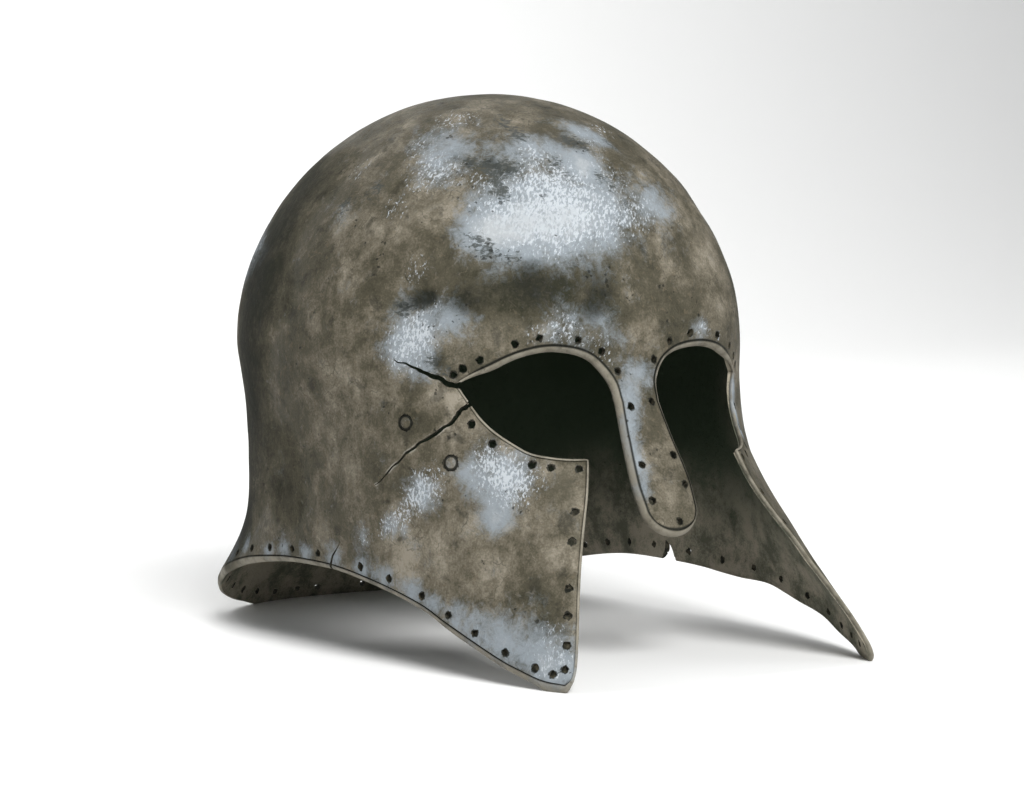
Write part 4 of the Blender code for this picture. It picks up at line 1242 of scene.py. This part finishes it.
                 (28, -0.18, 0.08, 0.40), (6, 0.35, 0.06, 0.60), (14, -0.65, 0.08, 0.40),
                 (70, 0.60, 0.14, 0.60), (60, -0.75, 0.18, 0.50), (130, 0.80, 0.14, 0.60),
                 (100, 0.20, 0.14, 0.40)),
    },
}
NEAR_POINT = 1e-6
TORN_CLEARANCE = 2 * RIVET_RADIUS


def set_mark(data, name, values):
    """Store one number for each point of a mesh."""
    data.attributes.new(name, "FLOAT", "POINT").data.foreach_set("value", values)


def spots_at(points, halves):
    """Add up the soft spots at each point."""
    total = np.zeros(len(points))
    for side, spots in halves.items():
        for turn, level, radius, strength in spots:
            away = np.linalg.norm(points - np.array(skin(side, turn, level)), axis=1)
            total += strength * np.exp(-((away / (radius * HALF_WIDTH)) ** 2))
    return total


def distances(points, targets):
    """Measure how far each point is from the nearest target."""
    tree = search_tree(targets)
    return [tree.find(point)[2] for point in points]


def carried_marks(points, mesh):
    """Read the marks of the uncut skin under each point."""
    tree = BVHTree.FromBMesh(mesh)
    mesh.faces.ensure_lookup_table()
    layers = [mesh.verts.layers.float[name] for name in SKIN_MARKS]
    rows = []
    for point in points:
        spot, normal, index, distance = tree.find_nearest(point)
        corners = mesh.faces[index].verts
        shares = [1 / ((corner.co - spot).length + NEAR_POINT) for corner in corners]
        rows.append([sum(share * corner[layer] for share, corner in zip(shares, corners))
                     / sum(shares) for layer in layers])
    return np.array(rows).T


def mark_shell(data, mesh, rim, holes):
    """Give every point of the cut shell its marks."""
    points = [Vector(corner.co) for corner in data.vertices]
    for name in SKIN_MARKS:
        if name in data.attributes:
            data.attributes.remove(data.attributes[name])
    for name, values in zip(SKIN_MARKS, carried_marks(points, mesh)):
        set_mark(data, name, values)
    places = np.array(points)
    for name, halves in SPOTS.items():
        set_mark(data, name, spots_at(places, halves))
    set_mark(data, "rim", distances(points, rim))
    hole_distances = distances(points, holes)
    set_mark(data, "hole", hole_distances)
    rivet_distances = distances(points, [skin("right", *place) for place in RIVETS.values()])
    dirt_and_shade_slot = data.materials.find("hole_dirt_and_shade")
    cut_corners = {corner for face in data.polygons if face.material_index == dirt_and_shade_slot
                   for corner in face.vertices if hole_distances[corner] > HOLE_INSET
                   and rivet_distances[corner] > TORN_CLEARANCE}
    set_mark(data, "rivet", rivet_distances)
    set_mark(data, "torn", distances(points, [points[corner] for corner in cut_corners]))


mark_shell(shell_piece.data, skin_mesh, rim_points, hole_spots)
shell_piece.data.shade_smooth()
shell_piece.data.set_sharp_from_angle(angle=math.radians(CRISP_ANGLE))
print("Marks:", [item.name for item in shell_piece.data.attributes if item.domain == "POINT"])

# %% [markdown]
# Three small node groups hold the looks of old bronze: its mottled colour, the bluish
# bloom, which is partly a painted highlight, and the pits. They give out colours and masks,
# and each material puts them together itself. Nearly every look is a cloudy pattern or a
# smooth step, so two tables name them all, and a finish can be changed there without
# reading the graph.

# %% Shared looks
DARK_BRONZE = (0.022, 0.022, 0.013, 1.0)
BROWN_BRONZE = (0.066, 0.059, 0.040, 1.0)
WARM_BRONZE = (0.128, 0.113, 0.083, 1.0)
PALE_BRONZE = (0.235, 0.211, 0.166, 1.0)
RIM_TAN = (0.215, 0.198, 0.158, 1.0)
OCHRE_CRUST = (0.170, 0.138, 0.092, 1.0)
# Soot in the pores and rings, and also the colour of painted shade in stains, grooves and holes
SOOT_AND_SHADE = (0.010, 0.011, 0.008, 1.0)
# Colours of the bluish bloom, which is partly a painted highlight
BLOOM_AND_HIGHLIGHT_HALO = (0.215, 0.245, 0.268, 1.0)
BLOOM_AND_HIGHLIGHT_CORE = (0.325, 0.342, 0.348, 1.0)
BLOOM_AND_HIGHLIGHT_SPECK = (0.410, 0.440, 0.465, 1.0)
# Colour of the dark streaks, which are partly painted shade
CHAR_AND_SHADE_COLOUR = (0.040, 0.045, 0.042, 1.0)

# Cloudy patterns as size in metres, detail, roughness and distortion
PATTERNS = {
    "clouds": (0.050, 2.0, 0.55, 0.0),
    "dust": (0.0008, 2.0, 0.55, 0.0),
    "patches": (0.014, 6.0, 0.62, 0.3),
    "grain": (0.0030, 5.0, 0.65, 0.0),
    "runs": (0.006, 4.0, 0.6, 0.3),
    "crust": (0.0026, 3.0, 0.6, 0.6),
    "soot": (0.0080, 5.0, 0.65, 0.4),
    "tide": (0.026, 4.0, 0.55, 0.0),
    "drift": (0.010, 5.0, 0.6, 0.6),
    "wisps": (0.0026, 5.0, 0.78, 0.8),
    "streaks": (0.0030, 4.0, 0.70, 0.5),
    "strokes": (0.0010, 3.0, 0.62, 0.4),
    "pit_clusters": (0.016, 3.0, 0.55, 0.0),
    "ragged_stain_and_shade": (0.0026, 5.0, 0.70, 0.6),
    "wear": (0.007, 4.0, 0.6, 0.0),
    "hole_edge": (0.0013, 2.0, 0.55, 0.0),
    "rivet_edge": (0.0016, 2.0, 0.55, 0.0),
    "soil": (0.0022, 4.0, 0.55, 0.0),
}

# Smooth steps as the values where they begin and end, and the results there if not 0 and 1
STEPS = {
    "brown": (0.26, 0.51),
    "warm": (0.46, 0.60),
    "pale": (0.56, 0.72),
    "crust": (0.58, 0.68),
    "soot": (0.54, 0.70),
    "tide_line": (0.001, 0.007, 0.45, 0.0),
    "tide_patches": (0.46, 0.56),
    "halo": (0.15, 1.05, 0.0, 0.88),
    "core": (0.95, 1.85),
    "char_and_shade_share": (2.68, 3.15, 0.0, 0.85),
    "char_and_shade_marked": (0.10, 0.45),
    "specks_in_core": (0.2, 1.0, 1.0, 0.45),
    "specks_reach": (0.06, 0.40),
    "pit_clusters": (0.50, 0.70, 0.0, 0.24),
    "pits_marked": (0.2, 0.8, 0.0, 0.30),
    "pit_edge": (-0.04, 0.06),
    "stained_and_shaded": (0.40, 1.40, 0.0, 0.80),
    "lip_wear": (0.30, 0.62, 0.35, 0.95),
    "lip_under_haze_and_highlight": (0.6, 1.2, 1.0, 0.4),
    "lip_under_stain_and_shade": (0.2, 0.8, 1.0, 0.25),
    "groove": (0.10, 0.65, 0.0, 0.94),
    "torn_edge_and_highlight": (0.0001, 0.0009, 1.0, 0.0),
    "torn_wear": (0.48, 0.62, 0.0, 0.70),
    "hole_ring": (0.0026, 0.0031, 0.90, 0.0),
    "rivet_ring": (0.0044, 0.0049, 0.90, 0.0),
    "inside_depth": (0.004, 0.060),
    "inside_stain_and_shade": (0.1, 0.8, 0.0, 0.65),
    "inside_shade": (0.40, 0.62, 0.75, 0.0),
    "shell_roughness": (0.35, 0.80, 0.54, 0.74),
    "stain_and_shade_roughness": (0.1, 0.6, 0.0, 0.92),
    "stain_and_shade_hides_metal": (0.1, 0.6, 1.0, 0.0),
    "rivet_roughness": (0.35, 0.80, 0.42, 0.62),
    "soil_colour": (0.35, 0.70),
    "soil_roughness": (0.0, 1.0, 0.80, 0.95),
}


class Graph:
    """Adds nodes to a tree and links each socket that is given as an input."""

    def __init__(self, tree):
        self.tree = tree

    def add(self, kind, values, **settings):
        """Add a node, with its inputs by name or number."""
        made = self.tree.nodes.new("ShaderNode" + kind)
        for name, setting in settings.items():
            setattr(made, name, setting)
        self.feed(made, values)
        return made

    def feed(self, node, values):
        """Link or set the inputs of a node."""
        for name, value in values.items():
            if isinstance(value, bpy.types.NodeSocket):
                self.tree.links.new(value, node.inputs[name])
            else:
                node.inputs[name].default_value = value

    def math(self, operation, *values):
        """Add a sum, a product and the like."""
        return self.add("Math", dict(enumerate(values)), operation=operation).outputs[0]

    def product(self, first, second):
        """Multiply two values."""
        return self.math("MULTIPLY", first, second)

    def blend(self, value, weight, rest):
        """Add a weighted value to the rest."""
        return self.math("MULTIPLY_ADD", value, weight, rest)

    def swing(self, pattern, amount):
        """Let a pattern swing evenly below and above zero."""
        return self.blend(pattern, amount, -amount / 2)

    def ramp(self, value, low, high, start=0.0, end=1.0):
        """Go smoothly from start to end while the value goes from low to high."""
        return self.add("MapRange", {"Value": value, "From Min": low, "From Max": high,
                                     "To Min": start, "To Max": end},
                        interpolation_type="SMOOTHSTEP").outputs["Result"]

    def step(self, value, name):
        """Add one of the named smooth steps."""
        return self.ramp(value, *STEPS[name])

    def noise(self, place, name):
        """Add one of the named cloudy patterns."""
        size, detail, roughness, distortion = PATTERNS[name]
        return self.add("TexNoise", {"Vector": place, "Scale": 1 / size, "Detail": detail,
                                     "Roughness": roughness,
                                     "Distortion": distortion}).outputs["Fac"]

    def stretch(self, place, factors):
        """Stretch or squeeze a pattern's place along each axis."""
        return self.add("VectorMath", {0: place, 1: factors}, operation="MULTIPLY").outputs[0]

    def mix(self, share, under, over):
        """Lay one colour over another."""
        return self.add("Mix", {0: share, 6: under, 7: over}, data_type="RGBA").outputs[2]

    def mark(self, name):
        """Read one of the marks of the mesh."""
        return self.add("Attribute", {}, attribute_name=name).outputs["Fac"]

    def use(self, group, **values):
        """Put a shared look into a material, and give its outputs."""
        return self.add("Group", values, node_tree=group).outputs


def new_group(name, inputs, outputs):
    """Start a node group, and give its graph with its inputs and its output node."""
    tree = bpy.data.node_groups.new(name, "ShaderNodeTree")
    for kind, sockets in (("INPUT", inputs), ("OUTPUT", outputs)):
        for socket, form in sockets.items():
            tree.interface.new_socket(socket, in_out=kind, socket_type="NodeSocket" + form)
    return Graph(tree), tree.nodes.new("NodeGroupInput").outputs, tree.nodes.new("NodeGroupOutput")


# %% [markdown]
# Old bronze isn't one colour. Brown and olive lie over each other in clouds, with grains
# of ochre crust, soot in the pores and dark tide lines where water dried. Five patterns
# of different sizes add up to one tone, and steps turn the tone into four colours. One
# pattern alone would look like marble.

# %% Mottled bronze
# Weight of each pattern in the tone, which runs from dark to pale bronze
TONE_WEIGHTS = {"clouds": 0.30, "dust": 0.20, "patches": 0.62, "grain": 0.20, "runs": 0.14}
TONE_START = -0.23
TONE_LIFT = 0.13
TONE_COLOURS = {"brown": BROWN_BRONZE, "warm": WARM_BRONZE, "pale": PALE_BRONZE}
RUN_STRETCH = (1.0, 1.0, 0.30)
CRUST_COVER = 0.28
CRUST_HEIGHT = 0.35
SOOT_COVER = 0.50
TIDE_MIDDLE = 0.5


def make_mottle():
    """Build the mottled bronze, lighter where its lift is high."""
    graph, given, result = new_group(
        "mottle", {"Place": "Vector", "Lift": "Float"},
        {"Colour": "Color", "Tone": "Float", "Crust": "Float"})
    place = given["Place"]
    layers = {}
    tone = TONE_START
    for name, weight in TONE_WEIGHTS.items():
        spot = graph.stretch(place, RUN_STRETCH) if name == "runs" else place
        layers[name] = graph.noise(spot, name)
        tone = graph.blend(layers[name], weight, tone)
    tone = graph.blend(given["Lift"], TONE_LIFT, tone)
    colour = DARK_BRONZE
    for name, lighter in TONE_COLOURS.items():
        colour = graph.mix(graph.step(tone, name), colour, lighter)
    crust = graph.step(graph.noise(place, "crust"), "crust")
    colour = graph.mix(graph.product(crust, CRUST_COVER), colour, OCHRE_CRUST)
    soot = graph.step(graph.noise(place, "soot"), "soot")
    colour = graph.mix(graph.product(soot, SOOT_COVER), colour, SOOT_AND_SHADE)
    front = graph.math("SUBTRACT", graph.noise(place, "tide"), TIDE_MIDDLE)
    line = graph.step(graph.math("ABSOLUTE", front), "tide_line")
    tide = graph.product(line, graph.step(layers["patches"], "tide_patches"))
    colour = graph.mix(tide, colour, DARK_BRONZE)
    height = graph.blend(crust, CRUST_HEIGHT, layers["grain"])
    graph.feed(result, {"Colour": colour, "Tone": tone, "Crust": height})
    return graph.tree


# %% [markdown]
# The bloom is a pale bluish crust of corrosion, and partly a painted highlight where light
# would catch the brow, the nasal and the cheeks: a soft veil with a lighter core, broken
# by charred streaks that are partly painted shade of the crown's wrinkles, and strewn with
# short slanting specks. Each of them is a pattern that fades out where the skin's own
# marks are low, so its border stays ragged. A spot with a plain soft border would look
# sprayed on.

# %% Bluish bloom, partly a painted highlight
DRIFT_SWING = 1.1
WISP_SWING = 1.3
VEIL_DRIFT = 1.25
CORE_COVER = 0.90
STREAK_STRETCH = (1.0, 1.0, 2.2)
STREAK_WEIGHT = 4.0
CHAR_AND_SHADE_LIMIT = 1.2
SPECK_AXIS = (0.57, -0.82, 0.0)
SPECK_ANGLE = 35.0
SPECK_STRETCH = (1.0, 1.0, 0.50)
SPECK_DRIFT = 0.7
SPECK_THRESHOLD = 0.63
SPECK_EASE = -0.15
SPECK_SOFTNESS = 0.14
SPECK_COVER = 0.85


def make_bloom_and_highlight():
    """Build the bluish bloom, partly a painted highlight: a soft halo, charred streaks that are
    partly painted shade, and slanting pale specks.
    """
    graph, given, result = new_group(
        "bloom_and_highlight", {"Place": "Vector", "Amount": "Float", "Haze": "Float", "Char": "Float",
                  "Under": "Color"},
        {"Colour": "Color", "Cover": "Float"})
    place = given["Place"]
    drift = graph.swing(graph.noise(place, "drift"), DRIFT_SWING)
    wisps = graph.swing(graph.noise(place, "wisps"), WISP_SWING)
    veil = graph.math("ADD", graph.blend(drift, VEIL_DRIFT, given["Haze"]), wisps)
    halo = graph.step(veil, "halo")
    colour = graph.mix(halo, given["Under"], BLOOM_AND_HIGHLIGHT_HALO)
    core = graph.step(veil, "core")
    colour = graph.mix(graph.product(core, CORE_COVER), colour, BLOOM_AND_HIGHLIGHT_CORE)

    # Dark streaks where the char mark is high, partly painted shade of the crown's wrinkles
    streaks = graph.noise(graph.stretch(place, STREAK_STRETCH), "streaks")
    char_and_shade = graph.math("MINIMUM", given["Char"], CHAR_AND_SHADE_LIMIT)
    char_and_shade_streaks = graph.blend(streaks, STREAK_WEIGHT, char_and_shade)
    char_and_shade_share = graph.product(graph.step(char_and_shade_streaks, "char_and_shade_share"), graph.step(char_and_shade, "char_and_shade_marked"))
    colour = graph.mix(char_and_shade_share, colour, CHAR_AND_SHADE_COLOUR)

    slant = graph.add("VectorRotate", {"Vector": place, "Axis": SPECK_AXIS,
                                       "Angle": math.radians(SPECK_ANGLE)}).outputs["Vector"]
    strokes = graph.noise(graph.stretch(slant, SPECK_STRETCH), "strokes")
    reach = graph.blend(drift, SPECK_DRIFT, given["Amount"])
    low = graph.blend(reach, SPECK_EASE, SPECK_THRESHOLD)
    high = graph.math("ADD", low, SPECK_SOFTNESS)
    specks = graph.product(graph.ramp(strokes, low, high, 0.0, SPECK_COVER),
                           graph.step(core, "specks_in_core"))
    specks = graph.product(specks, graph.math("SUBTRACT", 1.0, char_and_shade_share))
    specks = graph.product(specks, graph.step(reach, "specks_reach"))
    colour = graph.mix(specks, colour, BLOOM_AND_HIGHLIGHT_SPECK)
    graph.feed(result, {"Colour": colour, "Cover": graph.math("MAXIMUM", halo, specks)})
    return graph.tree


# %% [markdown]
# Pits come in clusters, where the metal was eaten away. Voronoi cells shaken by noise
# give small round hollows of uneven size. They are finer than the mesh, so they stay a
# mask for colour and bump.

# %% Pits
PIT_SCALE = 330.0
PIT_JITTER = 0.0016
PIT_JITTER_SCALE = 900.0


def make_pits():
    """Build a mask of small pits that come in clusters, where noise or the amount is high."""
    graph, given, result = new_group("pits", {"Place": "Vector", "Amount": "Float"},
                                     {"Mask": "Float"})
    place = given["Place"]
    jitter = graph.add("TexNoise", {"Vector": place, "Scale": PIT_JITTER_SCALE}).outputs["Color"]
    bent = graph.add("VectorMath", {0: jitter, 1: (PIT_JITTER,) * 3, 2: place},
                     operation="MULTIPLY_ADD").outputs[0]
    cells = graph.add("TexVoronoi", {"Vector": bent, "Scale": PIT_SCALE})
    clusters = graph.step(graph.noise(place, "pit_clusters"), "pit_clusters")
    size = graph.math("MAXIMUM", clusters, graph.step(given["Amount"], "pits_marked"))
    edge = graph.math("SUBTRACT", size, cells.outputs["Distance"])
    graph.feed(result, {"Mask": graph.step(edge, "pit_edge")})
    return graph.tree


mottle_group, bloom_and_highlight_group, pits_group = make_mottle(), make_bloom_and_highlight(), make_pits()
print("Groups:", [group.name for group in bpy.data.node_groups])

# %% [markdown]
# Every material ends alike: its colour, roughness and metallic value go to the shader,
# and one low bump gives the crust and the pits their relief. What is the same all over a
# surface is set on the shader itself.

# %% Materials
INNER_NEAR = (0.300, 0.270, 0.210, 1.0)
INNER_DEEP = (0.032, 0.046, 0.028, 1.0)
# Pale torn edge, partly a painted highlight
TORN_EDGE_AND_HIGHLIGHT = (0.300, 0.285, 0.245, 1.0)
RELIEF = 0.00035
SPECULAR = 0.14
STAIN_AND_SHADE_SWING = 1.6
STAIN_AND_SHADE_START = 0.2
PIT_COVER = 0.70
PIT_HEIGHT = -0.9
HOLE_EDGE_SWING = 0.0020
RIVET_EDGE_SWING = 0.0022
BLOOM_AND_HIGHLIGHT_ROUGHNESS = 0.15
BLOOM_AND_HIGHLIGHT_HEIGHT = 0.35
INNER_ROUGHNESS = 0.15
SHELL_METALLIC = 0.20
RIVET_METALLIC = 0.24
RIVET_METALLIC_LOSS = -0.20
RIVET_LIFT = 0.35
RIVET_BLOOM_AND_HIGHLIGHT = 0.15
RIVET_HAZE_AND_HIGHLIGHT = 0.35
RIVET_GROOVE_SOOT = 0.9
DIRT_AND_SHADE_METALLIC = 0.0


def start_material(material):
    """Give a material its graph and the place of each point."""
    material.use_nodes = True
    graph = Graph(material.node_tree)
    return graph, graph.add("TexCoord", {}).outputs["Object"]


def finish_material(graph, colour, roughness, metallic, relief):
    """Feed the finished looks to the shader."""
    bump = graph.add("Bump", {"Height": relief, "Strength": 1.0, "Distance": RELIEF})
    graph.feed(graph.tree.nodes["Principled BSDF"], {
        "Base Color": colour, "Roughness": roughness, "Metallic": metallic,
        "Normal": bump.outputs["Normal"], "Specular IOR Level": SPECULAR})


# %% [markdown]
# The shell's material lays the shared looks over each other in the order in which they
# grew, with painted light and shade laid in among them: mottled bronze, bloom that is
# partly a painted highlight, stains that are partly painted shade, and pits, then the
# rubbed lip, the painted shade along the groove, the pale torn edges with a painted
# highlight and a ring of soot at each hole and rivet. The inner face is plain and falls
# off to near black away from the light of the openings.

# %% Patina of the shell, with painted light and shade
def weathered(graph, place, bloom_and_highlight, pits, stain_and_shade):
    """Lay the stains, which are partly painted shade, and the pits over the bloomed bronze."""
    ragged = graph.blend(graph.noise(place, "ragged_stain_and_shade"), STAIN_AND_SHADE_SWING, STAIN_AND_SHADE_START)
    stain_and_shade_share = graph.step(graph.product(ragged, stain_and_shade), "stained_and_shaded")
    colour = graph.mix(stain_and_shade_share, bloom_and_highlight["Colour"], SOOT_AND_SHADE)
    return graph.mix(graph.product(pits, PIT_COVER), colour, SOOT_AND_SHADE)


def edged(graph, place, colour, stain_and_shade):
    """Lay the rubbed lip, the painted shade along its groove, the torn edges with their painted
    highlight and the rings of soot over the skin.
    """
    wear = graph.noise(place, "wear")
    lip_share = graph.product(graph.mark("lip"), graph.step(wear, "lip_wear"))
    lip_share = graph.product(lip_share, graph.step(graph.mark("haze_and_highlight"), "lip_under_haze_and_highlight"))
    lip_share = graph.product(lip_share, graph.step(stain_and_shade, "lip_under_stain_and_shade"))
    colour = graph.mix(lip_share, colour, RIM_TAN)
    # The groove's dark line is painted shade
    colour = graph.mix(graph.step(graph.mark("crease"), "groove"), colour, SOOT_AND_SHADE)
    # Pale torn edges of the cracks, partly a painted highlight along them
    torn_edge_and_highlight_share = graph.product(graph.step(graph.mark("torn"), "torn_edge_and_highlight"),
                               graph.step(wear, "torn_wear"))
    colour = graph.mix(torn_edge_and_highlight_share, colour, TORN_EDGE_AND_HIGHLIGHT)
    for name, swing in (("hole", HOLE_EDGE_SWING), ("rivet", RIVET_EDGE_SWING)):
        edge = graph.blend(graph.noise(place, name + "_edge"), swing, graph.mark(name))
        colour = graph.mix(graph.step(edge, name + "_ring"), colour, SOOT_AND_SHADE)
    return colour


def inner_face(graph, mottle, stain_and_shade):
    """Give the plain colour of the inner face, lit near the openings."""
    inside = graph.mix(graph.step(graph.mark("rim"), "inside_depth"), INNER_NEAR, INNER_DEEP)
    # The stains darken the inner face too, partly as painted shade
    inside = graph.mix(graph.step(stain_and_shade, "inside_stain_and_shade"), inside, INNER_DEEP)
    return graph.mix(graph.step(mottle["Tone"], "inside_shade"), inside, INNER_DEEP)


def make_patina(material):
    """Build the shell's material."""
    graph, place = start_material(material)
    inner, stain_and_shade = graph.mark("inner"), graph.mark("stain_and_shade")
    # The lift is lighter where tan is, partly painted light, and darker under the stains, partly
    # painted shade
    lift = graph.math("SUBTRACT", graph.mark("tan_and_painted_light"), stain_and_shade)
    mottle = graph.use(mottle_group, Place=place, Lift=lift)
    bloom_and_highlight = graph.use(bloom_and_highlight_group, Place=place, Amount=graph.mark("bloom_and_highlight"),
                      Haze=graph.mark("haze_and_highlight"), Char=graph.mark("char_and_shade"), Under=mottle["Colour"])
    pits = graph.use(pits_group, Place=place, Amount=graph.mark("pitted"))["Mask"]
    colour = edged(graph, place, weathered(graph, place, bloom_and_highlight, pits, stain_and_shade), stain_and_shade)
    colour = graph.mix(inner, colour, inner_face(graph, mottle, stain_and_shade))

    roughness = graph.step(mottle["Crust"], "shell_roughness")
    roughness = graph.math("MAXIMUM", roughness, graph.step(stain_and_shade, "stain_and_shade_roughness"))
    roughness = graph.blend(bloom_and_highlight["Cover"], BLOOM_AND_HIGHLIGHT_ROUGHNESS, roughness)
    roughness = graph.blend(inner, INNER_ROUGHNESS, roughness)
    bare = graph.product(graph.math("SUBTRACT", 1.0, bloom_and_highlight["Cover"]),
                         graph.math("SUBTRACT", 1.0, inner))
    bare = graph.product(bare, graph.step(stain_and_shade, "stain_and_shade_hides_metal"))
    relief = graph.blend(pits, PIT_HEIGHT, mottle["Crust"])
    relief = graph.blend(bloom_and_highlight["Cover"], BLOOM_AND_HIGHLIGHT_HEIGHT, relief)
    finish_material(graph, colour, roughness, graph.product(bare, SHELL_METALLIC), relief)


# %% [markdown]
# The rivets are of the same bronze, a little more metallic because they stand proud and
# are rubbed. The dirt is plain: earth that has dried in the holes and the cracks, and it
# is also painted shade, which keeps their walls dark.

# %% Rivets, and dirt with painted shade
def make_rivet_bronze(material):
    """Build the rivets' material: the same bronze, dark in the groove."""
    graph, place = start_material(material)
    mottle = graph.use(mottle_group, Place=place, Lift=RIVET_LIFT)
    bloom_and_highlight = graph.use(bloom_and_highlight_group, Place=place, Amount=RIVET_BLOOM_AND_HIGHLIGHT, Haze=RIVET_HAZE_AND_HIGHLIGHT,
                      Under=mottle["Colour"])
    groove = graph.product(graph.mark("crease"), RIVET_GROOVE_SOOT)
    colour = graph.mix(groove, bloom_and_highlight["Colour"], SOOT_AND_SHADE)
    roughness = graph.step(mottle["Crust"], "rivet_roughness")
    metallic = graph.blend(bloom_and_highlight["Cover"], RIVET_METALLIC_LOSS, RIVET_METALLIC)
    finish_material(graph, colour, roughness, metallic, mottle["Crust"])


def make_hole_dirt_and_shade(material):
    """Build the dark dirt and painted shade that line the holes and the cracks."""
    graph, place = start_material(material)
    soil = graph.noise(place, "soil")
    colour = graph.mix(graph.step(soil, "soil_colour"), SOOT_AND_SHADE, BROWN_BRONZE)
    finish_material(graph, colour, graph.step(soil, "soil_roughness"), DIRT_AND_SHADE_METALLIC, soil)


make_patina(patina)
make_rivet_bronze(rivet_bronze)
make_hole_dirt_and_shade(hole_dirt_and_shade)
print("Nodes of the patina:", len(patina.node_tree.nodes))

# %% [markdown]
# Everything was shaped about the dome's axis, so it all moves into the frame's place at
# the end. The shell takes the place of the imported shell, and each rivet that of its
# packed rivet.

# %% Into the frame
for piece in [shell_piece, *rivet_pieces.values()]:
    piece.data.transform(Matrix.Translation(DOME_AXIS))
    piece.data.update()
    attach(piece, "root")
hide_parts("shell")
for node, rivet in rivet_pieces.items():
    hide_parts(node)
